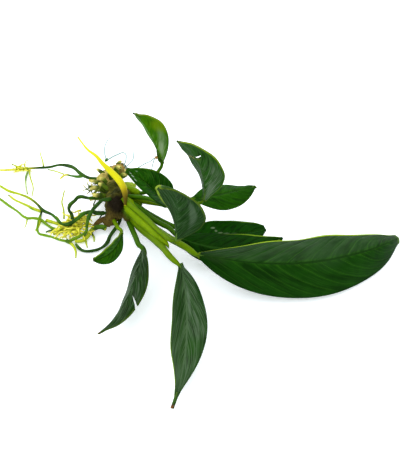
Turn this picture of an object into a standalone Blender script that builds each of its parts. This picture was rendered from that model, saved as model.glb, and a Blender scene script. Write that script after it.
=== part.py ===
"""A bare-root anubias, a slow-growing water plant, picked and laid on a flat surface.

Eleven leathery leaves stand on round stalks that spring from one thick creeping rhizome.
Green and yellow roots, a yellow sheath and a young bud grow from the same rhizome.
Lengths are written in millimetres and angles in degrees. The surface is z = 0.
The largest leaf points to +X, the roots to -X, and the front leaf hangs towards -Y.
"""
import bpy
import bmesh
from math import cos, pi, radians, sin
from mathutils import Quaternion, Vector
from mathutils.geometry import normal

MM = 0.001

# The middle of the plant's box on the surface, from which the part is measured.
CENTRE = Vector((-12.65, -29.3, 0.0))

LEAF_THICKNESS = 0.7
LEAF_BASE_HALF = 1.1
LEAF_TIP_HALF = 0.8
LEAF_ARCHING = 20.0
FULL_FOLD_HALF = 3.5
JOINT_GAP = 0.4
JOINT_BEND = 1.0
STALK_SIDES = 8
ROOT_SIDES = 6
STALK_STEP = 4.5
ROOT_STEP = 4.2
VOXEL = 0.9
RHIZOME_KEEP = 0.14

COLOURS = {
    "leaf_deep": ((0.018, 0.085, 0.012), 0.35),
    "leaf_grey": ((0.045, 0.110, 0.045), 0.40),
    "leaf_bright": ((0.060, 0.190, 0.015), 0.40),
    "stalk_light": ((0.240, 0.420, 0.020), 0.45),
    "stalk_dark": ((0.060, 0.200, 0.015), 0.45),
    "rhizome_brown": ((0.200, 0.150, 0.050), 0.80),
    "sheath_yellow": ((0.750, 0.700, 0.030), 0.50),
    "bud_green": ((0.300, 0.480, 0.060), 0.50),
    "root_green": ((0.060, 0.130, 0.020), 0.60),
    "root_yellow": ((0.520, 0.520, 0.050), 0.60),
}

# Each leaf: where its blade starts, the compass heading and climb of its midrib there, the
# roll of the blade about it, then length and width. Droop bends the midrib down over its
# whole length and tip_droop near the tip, sweep bends it sideways and twist turns the blade.
# The folds say how far the two halves hang from the midrib, cup how far they rise at the
# base, less where the blade is narrower than the full fold's half width to each side.
# Belly is the place of the widest part, and the two full values shape the outline.
LEAVES = {
    "leaf_right": dict(
        base=(-3.4, -36.1, 19.0), heading=-11, climb=-1, roll=23, length=108, width=38,
        droop=14, tip_droop=43, sweep=41, twist=1, fold_left=41, fold_right=33, cup=0,
        belly=0.47, base_full=0.84, tip_full=0.95, rows=18, half_columns=4, finish="leaf_deep"),
    "leaf_front": dict(
        base=(-12.9, -42.3, 20.0), heading=-75, climb=-9, roll=30, length=68, width=23,
        droop=-1, tip_droop=-7, sweep=-34, twist=16, fold_left=-2, fold_right=20, cup=15,
        belly=0.53, base_full=1.05, tip_full=1.65, rows=16, half_columns=3, finish="leaf_grey"),
    "leaf_split": dict(
        base=(-30.5, -25.6, 13.0), heading=-94, climb=-4, roll=63, length=54, width=17,
        droop=-15, tip_droop=-20, sweep=-17, twist=-20, fold_left=38, fold_right=26, cup=40,
        belly=0.43, base_full=1.0, tip_full=1.5, rows=14, half_columns=3, finish="leaf_deep"),
    "leaf_small": dict(
        base=(-41.8, -12.0, 10.0), heading=-98, climb=-17, roll=-73, length=22, width=10.5,
        droop=38, tip_droop=26, sweep=-33, twist=-6, fold_left=-6, fold_right=-12, cup=4,
        belly=0.5, base_full=1.1, tip_full=0.8, rows=10, half_columns=2, finish="leaf_bright"),
    "leaf_back_left": dict(
        base=(-22.8, 19.9, 26.0), heading=143, climb=72, roll=85, length=36, width=17,
        droop=22, tip_droop=15, sweep=11, twist=11, fold_left=-32, fold_right=-24, cup=14,
        belly=0.54, base_full=0.91, tip_full=1.15, rows=12, half_columns=3, finish="leaf_bright"),
    "leaf_back_mid": dict(
        base=(-2.1, -9.4, 28.0), heading=199, climb=98, roll=31, length=44, width=20,
        droop=34, tip_droop=17, sweep=-21, twist=2, fold_left=-15, fold_right=-1, cup=50,
        belly=0.37, base_full=1.05, tip_full=0.72, rows=12, half_columns=3, finish="leaf_grey"),
    "leaf_back_right": dict(
        base=(-7.8, 0.6, 20.0), heading=8, climb=-1, roll=14, length=35, width=17.5,
        droop=3, tip_droop=27, sweep=27, twist=-9, fold_left=32, fold_right=18, cup=34,
        belly=0.45, base_full=0.94, tip_full=1.06, rows=12, half_columns=3, finish="leaf_deep"),
    "leaf_left": dict(
        base=(-20.5, -6.5, 22.0), heading=221, climb=67, roll=-50, length=33, width=17,
        droop=-1, tip_droop=59, sweep=2, twist=-27, fold_left=-30, fold_right=-13, cup=39,
        belly=0.31, base_full=0.69, tip_full=1.0, rows=12, half_columns=3, finish="leaf_deep"),
    "leaf_mid": dict(
        base=(-14.8, -31.7, 24.0), heading=-146, climb=95, roll=9, length=44, width=26.5,
        droop=0, tip_droop=70, sweep=2, twist=12, fold_left=-7, fold_right=13, cup=62,
        belly=0.42, base_full=0.55, tip_full=1.35, rows=14, half_columns=3, finish="leaf_grey"),
    "leaf_far_dark": dict(
        base=(-9.1, -15.1, 11.0), heading=9, climb=-10, roll=0, length=40, width=16,
        droop=14, tip_droop=-24, sweep=17, twist=6, fold_left=-9, fold_right=1, cup=12,
        belly=0.41, base_full=0.57, tip_full=0.65, rows=12, half_columns=3, finish="leaf_deep"),
    "leaf_near_dark": dict(
        base=(-9.0, -21.0, 15.0), heading=-17, climb=-19, roll=38, length=48, width=18,
        droop=-5, tip_droop=33, sweep=47, twist=6, fold_left=39, fold_right=23, cup=0,
        belly=0.47, base_full=0.77, tip_full=0.93, rows=12, half_columns=3, finish="leaf_deep"),
}

# Where the blades are torn or eaten through: the corners of the opening as shares along the
# blade and across each half, with the left margin at 1 and the right one at -1.
OPENING_DEPTH = 2.0
OPENINGS = {
    "tear": dict(leaf="leaf_split", corners=[(0.63, 1.3), (0.57, 0.75), (0.51, 0.28),
                                             (0.60, 0.75), (0.68, 1.3)]),
    "hole": dict(leaf="leaf_back_mid", corners=[(0.585, -0.42), (0.60, -0.1), (0.645, 0.18),
                                                (0.68, 0.15), (0.655, -0.14), (0.62, -0.42)]),
}

# Each stalk: the points that it passes from the crown to its leaf, and its radius at the
# crown and at the leaf.
STALKS = {
    "stalk_right": dict(
        route=[(-42, 7, 9.1), (-36.0, 0.8, 10), (-32.8, -3.6, 10.5), (-29.1, -8.5, 11.5),
               (-23.4, -15.2, 13.4), (-18.9, -20.5, 15), (-14.6, -25.0, 16.2),
               (-10.4, -29.5, 17.6), (-6.9, -33.2, 18.5), (-3.4, -36.1, 19)],
        radii=(1.75, 1.45), leaf="leaf_right", finish="stalk_light"),
    "stalk_front": dict(
        route=[(-43, 6, 6.3), (-38.5, 3.0, 6.4), (-34.8, -4.1, 7.6), (-31.1, -10.7, 9.6),
               (-27.2, -16.9, 11.8), (-23.5, -23.5, 14.2), (-20.4, -29.9, 16.8),
               (-18.1, -35.3, 18.6), (-15.6, -40.0, 19.7), (-12.9, -42.3, 20)],
        radii=(1.5, 1.4), leaf="leaf_front", finish="stalk_light"),
    "stalk_split": dict(
        route=[(-44, 6.5, 4.2), (-41.3, 6.8, 4), (-38.8, 0.1, 4.4), (-36.1, -8.8, 7.4),
               (-34.0, -16.4, 10.2), (-32.3, -22.8, 12.1), (-30.5, -25.6, 13)],
        radii=(1.25, 1.1), leaf="leaf_split", finish="stalk_dark"),
    "stalk_small": dict(
        route=[(-48, 3.0, 5), (-46.2, -1.0, 6), (-43.8, -7.8, 8.5), (-41.8, -12, 10)],
        radii=(1.2, 0.8), leaf="leaf_small", finish="stalk_light"),
    "stalk_mid": dict(
        route=[(-42, 7, 13.6), (-34.5, -2.6, 15), (-28.7, -10.6, 16.4), (-23.5, -19.3, 18.6),
               (-19.5, -25.8, 21), (-16.5, -30.5, 23), (-14.8, -31.7, 24)],
        radii=(1.3, 1.0), leaf="leaf_mid", finish="stalk_light"),
    "stalk_near_dark": dict(
        route=[(-42, 9.5, 11.6), (-34.4, 2.4, 12.5), (-30.3, -1.9, 12.3), (-26.5, -5.8, 12.4),
               (-22.4, -9.5, 12.8), (-18.9, -12.5, 13.4), (-15.3, -15.6, 14.1), (-9, -21, 15)],
        radii=(1.4, 1.1), leaf="leaf_near_dark", finish="stalk_dark"),
    "stalk_far_dark": dict(
        route=[(-42, 9.5, 8), (-35.5, 7.8, 8.2), (-31.5, 4.2, 8.4), (-27.1, 0.1, 9),
               (-21.0, -5.4, 10), (-16.0, -9.2, 10.6), (-9.1, -15.1, 11)],
        radii=(1.3, 1.05), leaf="leaf_far_dark", finish="stalk_dark"),
    "stalk_left": dict(
        route=[(-42.5, 11, 12), (-35.1, 8.0, 14.4), (-30.4, 4.7, 16.8), (-25.4, -0.6, 19.8),
               (-20.5, -6.5, 22)],
        radii=(1.2, 0.85), leaf="leaf_left", finish="stalk_dark"),
    "stalk_back_mid": dict(
        route=[(-42, 12.5, 11), (-35.4, 9.5, 11), (-30.2, 6.7, 12.4), (-24.5, 2.2, 15.4),
               (-17.3, -4.2, 19.5), (-11.4, -9.1, 23.5), (-4.7, -9.4, 26.2), (-2.1, -9.4, 28)],
        radii=(1.25, 0.95), leaf="leaf_back_mid", finish="stalk_light"),
    "stalk_back_right": dict(
        route=[(-42, 13, 8), (-35.9, 13.9, 6.4), (-29.1, 10.0, 8.6), (-21.8, 5.1, 12),
               (-13.6, -0.1, 17), (-7.8, 0.6, 20)],
        radii=(1.15, 0.9), leaf="leaf_back_right", finish="stalk_dark"),
    "stalk_back_left": dict(
        route=[(-43, 15, 10), (-37.9, 16.0, 9.8), (-34.1, 14.0, 11.4), (-30.4, 12.5, 14.2),
               (-27.6, 14.2, 17.5), (-25.1, 17.3, 22), (-22.8, 19.9, 26)],
        radii=(1.1, 0.8), leaf="leaf_back_left", finish="stalk_dark"),
}

# The creeping stem from its front end to its old end, as points and radii, and the lumps
# and root stubs that have grown from it.
RHIZOME_ROUTE = [(-51, -3, 4.2), (-48, 3.5, 5), (-46.5, 11, 5.9), (-47.5, 19, 6.3), (-50.5, 27, 6.2),
                 (-49.5, 33.5, 6), (-45.5, 37, 7)]
RHIZOME_RADII = [3.0, 4.6, 5.7, 6.1, 5.9, 5.2, 3.6]
CROWN = dict(centre=(-44.5, 9.5, 9.0), radii=(7.0, 9.6, 6.6))
LUMPS = [
    dict(centre=(-53, 26, 9), radii=(4.2, 4.6, 4.2)),
    dict(centre=(-47, 32, 10), radii=(4.2, 3.6, 3.6)),
    dict(centre=(-49.5, 5, 5), radii=(3.0, 5.0, 4.4)),
    dict(centre=(-47, 18, 11.5), radii=(4.5, 4.5, 3.2)),
    dict(centre=(-39.5, 3.8, 7.8), radii=(3.4, 4.6, 5.2)),
]
STUBS = [
    dict(start=(-52, 18, 9), end=(-59.5, 17.5, 11), radius=1.3),
    dict(start=(-52, 21, 7), end=(-60.5, 21.5, 8.5), radius=1.4),
    dict(start=(-53, 24, 5), end=(-61, 25.5, 5.4), radius=1.2),
    dict(start=(-52, 15, 6), end=(-60, 14.5, 6.6), radius=1.2),
    dict(start=(-51, 20, 11), end=(-56, 22, 14.2), radius=1.3),
    dict(start=(-46.5, 34, 9.5), end=(-45.5, 38.5, 11.5), radius=1.4),
    dict(start=(-46, 32, 9), end=(-41.5, 32.5, 11), radius=1.4),
    dict(start=(-50, 31, 8), end=(-55, 36, 11.5), radius=1.3),
]

SHEATH = dict(
    route=[(-43.4, 8, 13), (-42, 9.4, 17.2), (-44, 14.6, 19.1), (-48.5, 20.3, 20.2),
           (-52.9, 25.3, 21), (-56.8, 30.9, 21.5), (-61.4, 36.2, 21), (-64.6, 41.6, 20.5),
           (-67.9, 47.9, 20)],
    radii=(1.9, 0.35))
BUD = dict(centre=(-40.2, 22, 9.5), radii=(4.8, 3.3, 3.1))

# Each root: the points that it passes and its radius where it starts and ends.
ROOTS = {
    "root_upper": dict(
        route=[(-52, 27, 7), (-57.4, 28.8, 7.4), (-61.5, 29.3, 8), (-65.9, 32.4, 8),
               (-70.3, 38.3, 7), (-73.3, 41, 6), (-79.2, 44.1, 4), (-84.2, 44.2, 2.5),
               (-91.8, 44.6, 1.5), (-100.4, 44.3, 1), (-111, 43.7, 0.8), (-118.8, 45.4, 0.7)],
        radii=(0.95, 0.5), finish="root_green"),
    "root_upper_fork": dict(
        route=[(-67.3, 32, 6.1), (-71.7, 34.6, 4.8), (-75, 35.9, 4.2), (-77.5, 33.7, 3.4)],
        radii=(0.8, 0.45), finish="root_yellow"),
    "root_cross": dict(
        route=[(-95.9, 42.5, 0.8), (-96.4, 38.2, 0.7), (-95.4, 31.2, 0.7), (-93.7, 25, 0.7)],
        radii=(0.5, 0.4), finish="root_yellow"),
    "root_side": dict(
        route=[(-51.6, 3.2, 8), (-55, 2.8, 8.4), (-58.2, 4.2, 7.8), (-61.7, 3.9, 7),
               (-65, 1, 6), (-68.3, -1.1, 5), (-71.9, -0.8, 4), (-75.5, 3.7, 3.4),
               (-79.1, 7.7, 3), (-83, 10.4, 2.5), (-87.4, 16.3, 1.8), (-92.3, 21.4, 1.2),
               (-98, 24.7, 1), (-103.6, 27.1, 0.9), (-108.9, 31.1, 0.8), (-118.5, 37.4, 0.7)],
        radii=(0.95, 0.5), finish="root_yellow"),
    "root_middle": dict(
        route=[(-85.3, 12, 0.7), (-89.9, 14.2, 0.8), (-94.1, 17.3, 0.8), (-98.9, 20.1, 0.7),
               (-102.5, 23.5, 0.7)],
        radii=(0.65, 0.4), finish="root_yellow"),
    "root_bow": dict(
        route=[(-50, 13.5, 7), (-56, 13.8, 8.6), (-59.7, 11.9, 10), (-64.6, 11.7, 11),
               (-66.6, 9.3, 10.5), (-68.9, 7.9, 9), (-69.4, 6.4, 7), (-68.1, 5.3, 4.6),
               (-68, 3.1, 2.6), (-69.4, 0.4, 1.4), (-72.2, -1.2, 1), (-76.3, -1, 1),
               (-80.1, 1.5, 1), (-84.1, 5.4, 1), (-87.8, 6.8, 1), (-91.3, 6.8, 1),
               (-97.1, 11.9, 1), (-102.4, 16.5, 0.9), (-107.3, 21.1, 0.8), (-115.8, 28.1, 0.7)],
        radii=(0.85, 0.55), finish="root_green"),
    "root_arch": dict(
        route=[(-47.9, 9.5, 11), (-48.5, 7.2, 13.5), (-51.8, 5.8, 14.4), (-54.2, 4, 13.4),
               (-57.2, 1.7, 10.8), (-58.7, -0.1, 8.5), (-59.6, -3.4, 6.5), (-59.9, -6.6, 4.5),
               (-62.9, -7.9, 3), (-66.1, -8.8, 1.8), (-68.3, -9.5, 1.2), (-72.4, -8.6, 0.9),
               (-77.1, -6.5, 0.9), (-81.2, -5.1, 0.9), (-83.8, -4.1, 0.9), (-84.9, -1.6, 1.6),
               (-84.8, 3, 2.8), (-84.6, 6.4, 2.9)],
        radii=(0.95, 0.45), finish="root_green"),
    "root_loop": dict(
        route=[(-44.7, 7.8, 5), (-44, 4.2, 3.6), (-44.4, 1.2, 3), (-46.2, -2, 2),
               (-48.4, -6.1, 1.2), (-49.6, -10.7, 1), (-52.2, -14, 0.9), (-55.3, -15.6, 0.9),
               (-60.3, -16, 0.9), (-63, -14, 0.9), (-64.8, -11.4, 0.9)],
        radii=(0.95, 0.7), finish="root_green"),
    "root_brown": dict(
        route=[(-51, 4.5, 3), (-54.5, 3, 2.4), (-56.6, 1, 1.8), (-57.6, -1.6, 1.1),
               (-57.8, -4.4, 0.8)],
        radii=(1.3, 0.55), finish="rhizome_brown"),
}
BRANCH_ROOTS = ("root_upper_fork", "root_cross", "root_middle")


def clear_scene():
    for thing in list(bpy.data.objects):
        bpy.data.objects.remove(thing, do_unlink=True)


def metres(point):
    """A point in millimetres as a place in the part's own frame."""
    return (Vector(point) - CENTRE) * MM


def material(name):
    found = bpy.data.materials.get(name)
    if found:
        return found
    colour, roughness = COLOURS[name]
    made = bpy.data.materials.new(name)
    made.use_nodes = True
    shader = made.node_tree.nodes["Principled BSDF"]
    shader.inputs["Base Color"].default_value = (*colour, 1.0)
    shader.inputs["Roughness"].default_value = roughness
    shader.inputs["Metallic"].default_value = 0.0
    made.diffuse_color = (*colour, 1.0)
    return made


def add_object(name, bm, finish):
    """Turn a finished bmesh into an object with its own mesh and material."""
    mesh = bpy.data.meshes.new(name)
    bm.to_mesh(mesh)
    bm.free()
    thing = bpy.data.objects.new(name, mesh)
    bpy.context.scene.collection.objects.link(thing)
    mesh.materials.append(material(finish))
    mesh.shade_smooth()
    return thing


def hide_cutter(thing):
    thing.hide_render = True
    thing.display_type = "WIRE"


def cut(thing, cutter):
    carve = thing.modifiers.new("cut_by_" + cutter.name, "BOOLEAN")
    carve.operation = "DIFFERENCE"
    carve.solver = "EXACT"
    carve.object = cutter


def smooth_route(points, step):
    """Even points, about a step apart, on a smooth curve through the given points."""
    line = [Vector(p) for p in points]
    line = [2 * line[0] - line[1]] + line + [2 * line[-1] - line[-2]]
    fine = []
    per_span = 12
    for i in range(1, len(line) - 2):
        a, b, c, d = line[i - 1:i + 3]
        for k in range(per_span):
            t = k / per_span
            fine.append(0.5 * (2 * b + (c - a) * t + (2 * a - 5 * b + 4 * c - d) * t ** 2
                               + (3 * b - a - 3 * c + d) * t ** 3))
    fine.append(line[-2])
    lengths = [0.0]
    for a, b in zip(fine, fine[1:]):
        lengths.append(lengths[-1] + (b - a).length)
    count = max(3, round(lengths[-1] / step))
    even = []
    j = 0
    for i in range(count + 1):
        wanted = lengths[-1] * i / count
        while j < len(fine) - 2 and lengths[j + 1] < wanted:
            j += 1
        part = (wanted - lengths[j]) / max(lengths[j + 1] - lengths[j], 1e-9)
        even.append(fine[j].lerp(fine[j + 1], min(part, 1.0)))
    return even


def add_tube(bm, route, radii, sides):
    """A closed round tube along the route, with one radius for each of its points."""
    tangents = []
    for i in range(len(route)):
        onward = (route[min(i + 1, len(route) - 1)] - route[min(i, len(route) - 2)]).normalized()
        before = (route[max(i, 1)] - route[max(i - 1, 0)]).normalized()
        tangents.append((onward + before).normalized())
    side = tangents[0].orthogonal().normalized()
    rings = []
    for i, centre in enumerate(route):
        if i:
            side = tangents[i - 1].rotation_difference(tangents[i]) @ side
            side = (side - side.dot(tangents[i]) * tangents[i]).normalized()
        up = tangents[i].cross(side)
        ring = []
        for k in range(sides):
            turn = 2 * pi * k / sides
            offset = (side * cos(turn) + up * sin(turn)) * radii[i]
            ring.append(bm.verts.new(metres(centre + offset)))
        rings.append(ring)
    for near, far in zip(rings, rings[1:]):
        for k in range(sides):
            bm.faces.new((near[k], near[(k + 1) % sides], far[(k + 1) % sides], far[k]))
    bm.faces.new(rings[0][::-1])
    bm.faces.new(rings[-1])


def taper(start, end, count):
    return [start + (end - start) * i / (count - 1) for i in range(count)]


def make_tube(name, route, radii, sides, step, finish, end=None):
    points = smooth_route(route, step)
    if end is not None:
        points.append(end)
    bm = bmesh.new()
    add_tube(bm, points, taper(*radii, len(points)), sides)
    return add_object(name, bm, finish)


def add_blob(bm, centre, radii):
    """An egg-shaped lump."""
    made = bmesh.ops.create_icosphere(bm, subdivisions=3, radius=1.0)
    for vert in made["verts"]:
        grown = Vector(vert.co[i] * radii[i] for i in range(3))
        vert.co = metres(Vector(centre) + grown)


def leaf_half_width(leaf, along):
    """Half of the blade's width at a share of its length."""
    belly = leaf["belly"]
    if along < belly:
        share = (1 - (1 - along / belly) ** 2) ** leaf["base_full"]
    else:
        share = max(1 - ((along - belly) / (1 - belly)) ** 2, 0.0) ** leaf["tip_full"]
    least = LEAF_BASE_HALF + (LEAF_TIP_HALF - LEAF_BASE_HALF) * along
    return max(leaf["width"] / 2 * share, least)


def leaf_frames(leaf, rows):
    """The midrib's points, each with its forward, left and up directions."""
    heading = radians(leaf["heading"])
    climb = radians(leaf["climb"])
    ahead = Vector((cos(heading) * cos(climb), sin(heading) * cos(climb), sin(climb)))
    left = Vector((-sin(heading), cos(heading), 0.0))
    left = Quaternion(ahead, radians(leaf["roll"])) @ left
    point = Vector(leaf["base"])
    frames = [(0.0, point.copy(), ahead.copy(), left.copy(), ahead.cross(left))]
    fine = 4
    share = 1.0 / (rows * fine)
    for i in range(rows * fine):
        along = (i + 0.5) * share
        bend = leaf["droop"] + leaf["tip_droop"] * 3 * along ** 2
        nod = Quaternion(left, radians(bend * share))
        ahead = nod @ ahead
        swing = Quaternion(ahead.cross(left), radians(leaf["sweep"] * share))
        ahead = swing @ ahead
        left = swing @ left
        left = Quaternion(ahead, radians(leaf["twist"] * share)) @ left
        point = point + ahead * leaf["length"] * share
        if (i + 1) % fine == 0:
            frames.append(((i + 1) * share, point.copy(), ahead.copy(), left.copy(), ahead.cross(left)))
    return frames


def leaf_row(leaf, frame):
    """One row of points across the blade, from its left margin to its right one."""
    along, point, _, left, up = frame
    half = leaf_half_width(leaf, along)
    cup = leaf["cup"] * (1 - along) ** 2
    narrow = min(half / FULL_FOLD_HALF, 1.0)
    columns = leaf["half_columns"]
    sides = []
    for sign, fold in ((1, leaf["fold_left"]), (-1, leaf["fold_right"])):
        out = 0.0
        down = 0.0
        made = []
        for k in range(columns):
            arch = LEAF_ARCHING * ((k + 0.5) / columns - 0.5)
            hang = radians((fold - cup) * narrow + arch)
            out += cos(hang) * half / columns
            down += sin(hang) * half / columns
            made.append(point + left * sign * out - up * down)
        sides.append(made)
    return sides[0][::-1] + [point] + sides[1]


def make_leaf(name, leaf):
    """One blade: a folded, bent and twisted sheet with a leathery thickness."""
    bm = bmesh.new()
    rows = []
    for frame in leaf_frames(leaf, leaf["rows"]):
        rows.append([bm.verts.new(metres(p)) for p in leaf_row(leaf, frame)])
    for near, far in zip(rows, rows[1:]):
        for k in range(len(near) - 1):
            bm.faces.new((near[k], near[k + 1], far[k + 1], far[k]))
    thing = add_object(name, bm, leaf["finish"])
    skin = thing.modifiers.new("thickness", "SOLIDIFY")
    skin.thickness = LEAF_THICKNESS * MM
    skin.offset = 0.0
    skin.use_even_offset = True
    return thing


def blade_point(leaf, along, across):
    """The place of a share along and across the blade, carried on beyond its margins."""
    rows = leaf["rows"]
    columns = leaf["half_columns"]
    frames = leaf_frames(leaf, rows)
    row = min(int(along * rows), rows - 1)
    place = columns * (1 - across)
    column = min(max(int(place), 0), 2 * columns - 1)
    ends = []
    for frame in frames[row:row + 2]:
        line = leaf_row(leaf, frame)
        ends.append(line[column].lerp(line[column + 1], place - column))
    return ends[0].lerp(ends[1], along * rows - row)


def make_opening(name, opening):
    """A thin prism that stands through the blade."""
    corners = [blade_point(LEAVES[opening["leaf"]], *shares) for shares in opening["corners"]]
    through = normal(corners) * OPENING_DEPTH
    bm = bmesh.new()
    below = [bm.verts.new(metres(p - through)) for p in corners]
    above = [bm.verts.new(metres(p + through)) for p in corners]
    bm.faces.new(below[::-1])
    bm.faces.new(above)
    for k in range(len(corners)):
        turn = (k + 1) % len(corners)
        bm.faces.new((below[k], below[turn], above[turn], above[k]))
    cutter = add_object(name, bm, LEAVES[opening["leaf"]]["finish"])
    hide_cutter(cutter)
    return cutter


def make_stalk(name, stalk):
    """A round stalk that ends just short of the blade it carries."""
    route = [Vector(p) for p in stalk["route"]]
    leaf = LEAVES[stalk["leaf"]]
    ahead = leaf_frames(leaf, leaf["rows"])[0][2]
    end = Vector(leaf["base"]) - ahead * JOINT_GAP
    route[-1] = end - ahead * JOINT_BEND
    return make_tube(name, route, stalk["radii"], STALK_SIDES, STALK_STEP, stalk["finish"], end)


def make_rhizome(name, finish, swell=0.0):
    """The creeping stem with its crown, lumps and root stubs, grown together as one skin."""
    bm = bmesh.new()
    route = [Vector(p) for p in RHIZOME_ROUTE]
    add_tube(bm, route, RHIZOME_RADII, 16)
    add_blob(bm, CROWN["centre"], CROWN["radii"])
    for lump in LUMPS:
        add_blob(bm, lump["centre"], lump["radii"])
    for stub in STUBS:
        line = smooth_route([stub["start"], stub["end"]], 2.0)
        add_tube(bm, line, taper(stub["radius"], stub["radius"] * 0.55, len(line)), 8)
    thing = add_object(name, bm, finish)
    grown = thing.modifiers.new("grown_together", "REMESH")
    grown.mode = "VOXEL"
    grown.voxel_size = VOXEL * MM
    fewer = thing.modifiers.new("fewer_faces", "DECIMATE")
    fewer.ratio = RHIZOME_KEEP
    if swell:
        wider = thing.modifiers.new("clearance", "DISPLACE")
        wider.strength = swell * MM
        wider.mid_level = 0.0
    return thing


def make_bud(name):
    bm = bmesh.new()
    made = bmesh.ops.create_uvsphere(bm, u_segments=12, v_segments=8, radius=1.0)
    for vert in made["verts"]:
        grown = Vector(vert.co[i] * BUD["radii"][i] for i in range(3))
        vert.co = metres(Vector(BUD["centre"]) + grown)
    return add_object(name, bm, "bud_green")


def build():
    clear_scene()
    make_rhizome("rhizome", "rhizome_brown")
    clearance = make_rhizome("rhizome_clearance", "rhizome_brown", swell=JOINT_GAP)
    hide_cutter(clearance)
    blades = {name: make_leaf(name, leaf) for name, leaf in LEAVES.items()}
    for name, opening in OPENINGS.items():
        cut(blades[opening["leaf"]], make_opening(name, opening))
    for name, stalk in STALKS.items():
        cut(make_stalk(name, stalk), clearance)
    for name, root in ROOTS.items():
        thing = make_tube(name, root["route"], root["radii"], ROOT_SIDES, ROOT_STEP, root["finish"])
        if name not in BRANCH_ROOTS:
            cut(thing, clearance)
    cut(make_tube("sheath", SHEATH["route"], SHEATH["radii"], STALK_SIDES, STALK_STEP, "sheath_yellow"),
        clearance)
    cut(make_bud("bud"), clearance)


build()
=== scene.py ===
# %% [markdown]
# # A picked anubias, laid down on a table
#
# The plant is an anubias, a slow water plant that was grown in a pot and then washed bare.
# Eleven leathery leaves stand on round stalks. All of them spring from a creeping stem, the
# rhizome, which also carries a yellow sheath, a bud and long trailing roots. The solids of
# the plant already exist. This script loads them and models the finer skin over each one.

# %% Load the solids
import random
from math import cos, pi, radians, sin

import bmesh
import bpy
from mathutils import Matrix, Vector


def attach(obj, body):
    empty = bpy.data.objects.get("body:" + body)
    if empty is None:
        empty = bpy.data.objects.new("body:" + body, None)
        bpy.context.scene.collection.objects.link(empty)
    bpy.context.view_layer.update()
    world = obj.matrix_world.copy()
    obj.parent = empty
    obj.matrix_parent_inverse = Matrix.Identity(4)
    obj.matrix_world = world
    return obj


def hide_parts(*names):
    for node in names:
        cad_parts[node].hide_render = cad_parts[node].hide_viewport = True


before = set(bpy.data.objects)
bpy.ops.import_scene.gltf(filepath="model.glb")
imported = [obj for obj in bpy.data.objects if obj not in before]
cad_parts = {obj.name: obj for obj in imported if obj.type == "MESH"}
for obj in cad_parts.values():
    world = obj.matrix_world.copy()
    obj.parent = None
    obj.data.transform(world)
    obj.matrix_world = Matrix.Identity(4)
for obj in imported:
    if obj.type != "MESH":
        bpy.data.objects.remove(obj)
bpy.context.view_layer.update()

# %% [markdown]
# ## The plant's own measure
#
# A plant is measured in millimetres, and Blender works in metres. Every place below is
# written in millimetres from a mark on the table, and this helper turns it into metres from
# the middle of the plant. Keeping one helper for that means no value is converted twice.

# %% Millimetres to places
MM = 0.001
CENTRE = Vector((-12.65, -29.3, 0.0))


def place(point):
    return (Vector(point) - CENTRE) * MM


print("the mark on the table is at", place((0, 0, 0)))

# %% [markdown]
# ## Camera
#
# The photograph looks down on the table from about forty-five degrees. A camera with a long
# lens, half a metre away, flattens the plant as the photograph does. The sensor is fitted to
# the picture's width, so the same number gives the same frame in a tall picture.

# %% Camera
CAMERA_PLACE = (0.0, -318.2, 318.2)
CAMERA_TILT = 45.0
SENSOR_WIDTH = 36.0
LENS_WIDTHS = 900 / 416

bpy.ops.object.camera_add(location=place(CAMERA_PLACE), rotation=(radians(CAMERA_TILT), 0, 0))
camera = bpy.context.object
camera.data.sensor_fit = "HORIZONTAL"
camera.data.sensor_width = SENSOR_WIDTH
camera.data.lens = SENSOR_WIDTH * LENS_WIDTHS
camera.data.clip_start = 0.01
bpy.context.scene.camera = camera
print("lens", round(camera.data.lens, 1), "mm")

# %% [markdown]
# ## Table
#
# The plant lies on a white table that is nearly blown out by light. Nothing of its edges is
# seen, so one wide plane is enough. It lies a hair below the roots, which then never flicker
# through it.

# %% Table
TABLE_DEPTH = 0.3 * MM
TABLE_SIZE = 6.0

bpy.ops.mesh.primitive_plane_add(size=TABLE_SIZE, location=(0, 0, -TABLE_DEPTH))
table = bpy.context.object
table.name = "table"
print("table of", TABLE_SIZE, "m")

# %% [markdown]
# ## Light
#
# The picture is a bright one, with only a breath of bluish shadow under the leaves. Shadow
# stays faint when most of the light comes from everywhere, so a white surrounding does the
# main work. One wide lamp behind the plant adds a little to the leaves' grey sheen, most of
# which is painted into their colour, and a second one at the left keeps the roots clear.
# Small lamps would throw hard shadows instead.

# %% Light
SURROUND_COLOUR = (0.97, 0.985, 1.0, 1.0)
SURROUND_STRENGTH = 1.45
LAMPS = [
    dict(place=(-150, 700, 620), size=0.9, power=2.5),
    dict(place=(-650, -250, 700), size=0.8, power=2.0),
]

surround = bpy.data.worlds.new("white_room")
surround.use_nodes = True
backdrop = surround.node_tree.nodes["Background"]
backdrop.inputs["Color"].default_value = SURROUND_COLOUR
backdrop.inputs["Strength"].default_value = SURROUND_STRENGTH
bpy.context.scene.world = surround
bpy.context.scene.view_settings.view_transform = "Standard"
for values in LAMPS:
    towards = place((0, 0, 0)) - place(values["place"])
    turned = towards.to_track_quat("-Z", "Y").to_euler()
    bpy.ops.object.light_add(type="AREA", location=place(values["place"]), rotation=turned)
    lamp = bpy.context.object.data
    lamp.size = values["size"]
    lamp.energy = values["power"]
print("surround", SURROUND_STRENGTH, "and", len(LAMPS), "lamps")

# %% [markdown]
# ## Shader sums in plain Python
#
# A finish is a chain of small sums: this line is a vein, so it is paler, unless the margin
# is near. Such sums are hard to read as boxes and wires. The class below wraps one socket,
# so that writing a sum in Python adds the Math nodes for it, and one method adds any other
# node: its settings first, and then the values or links of its sockets.

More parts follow.
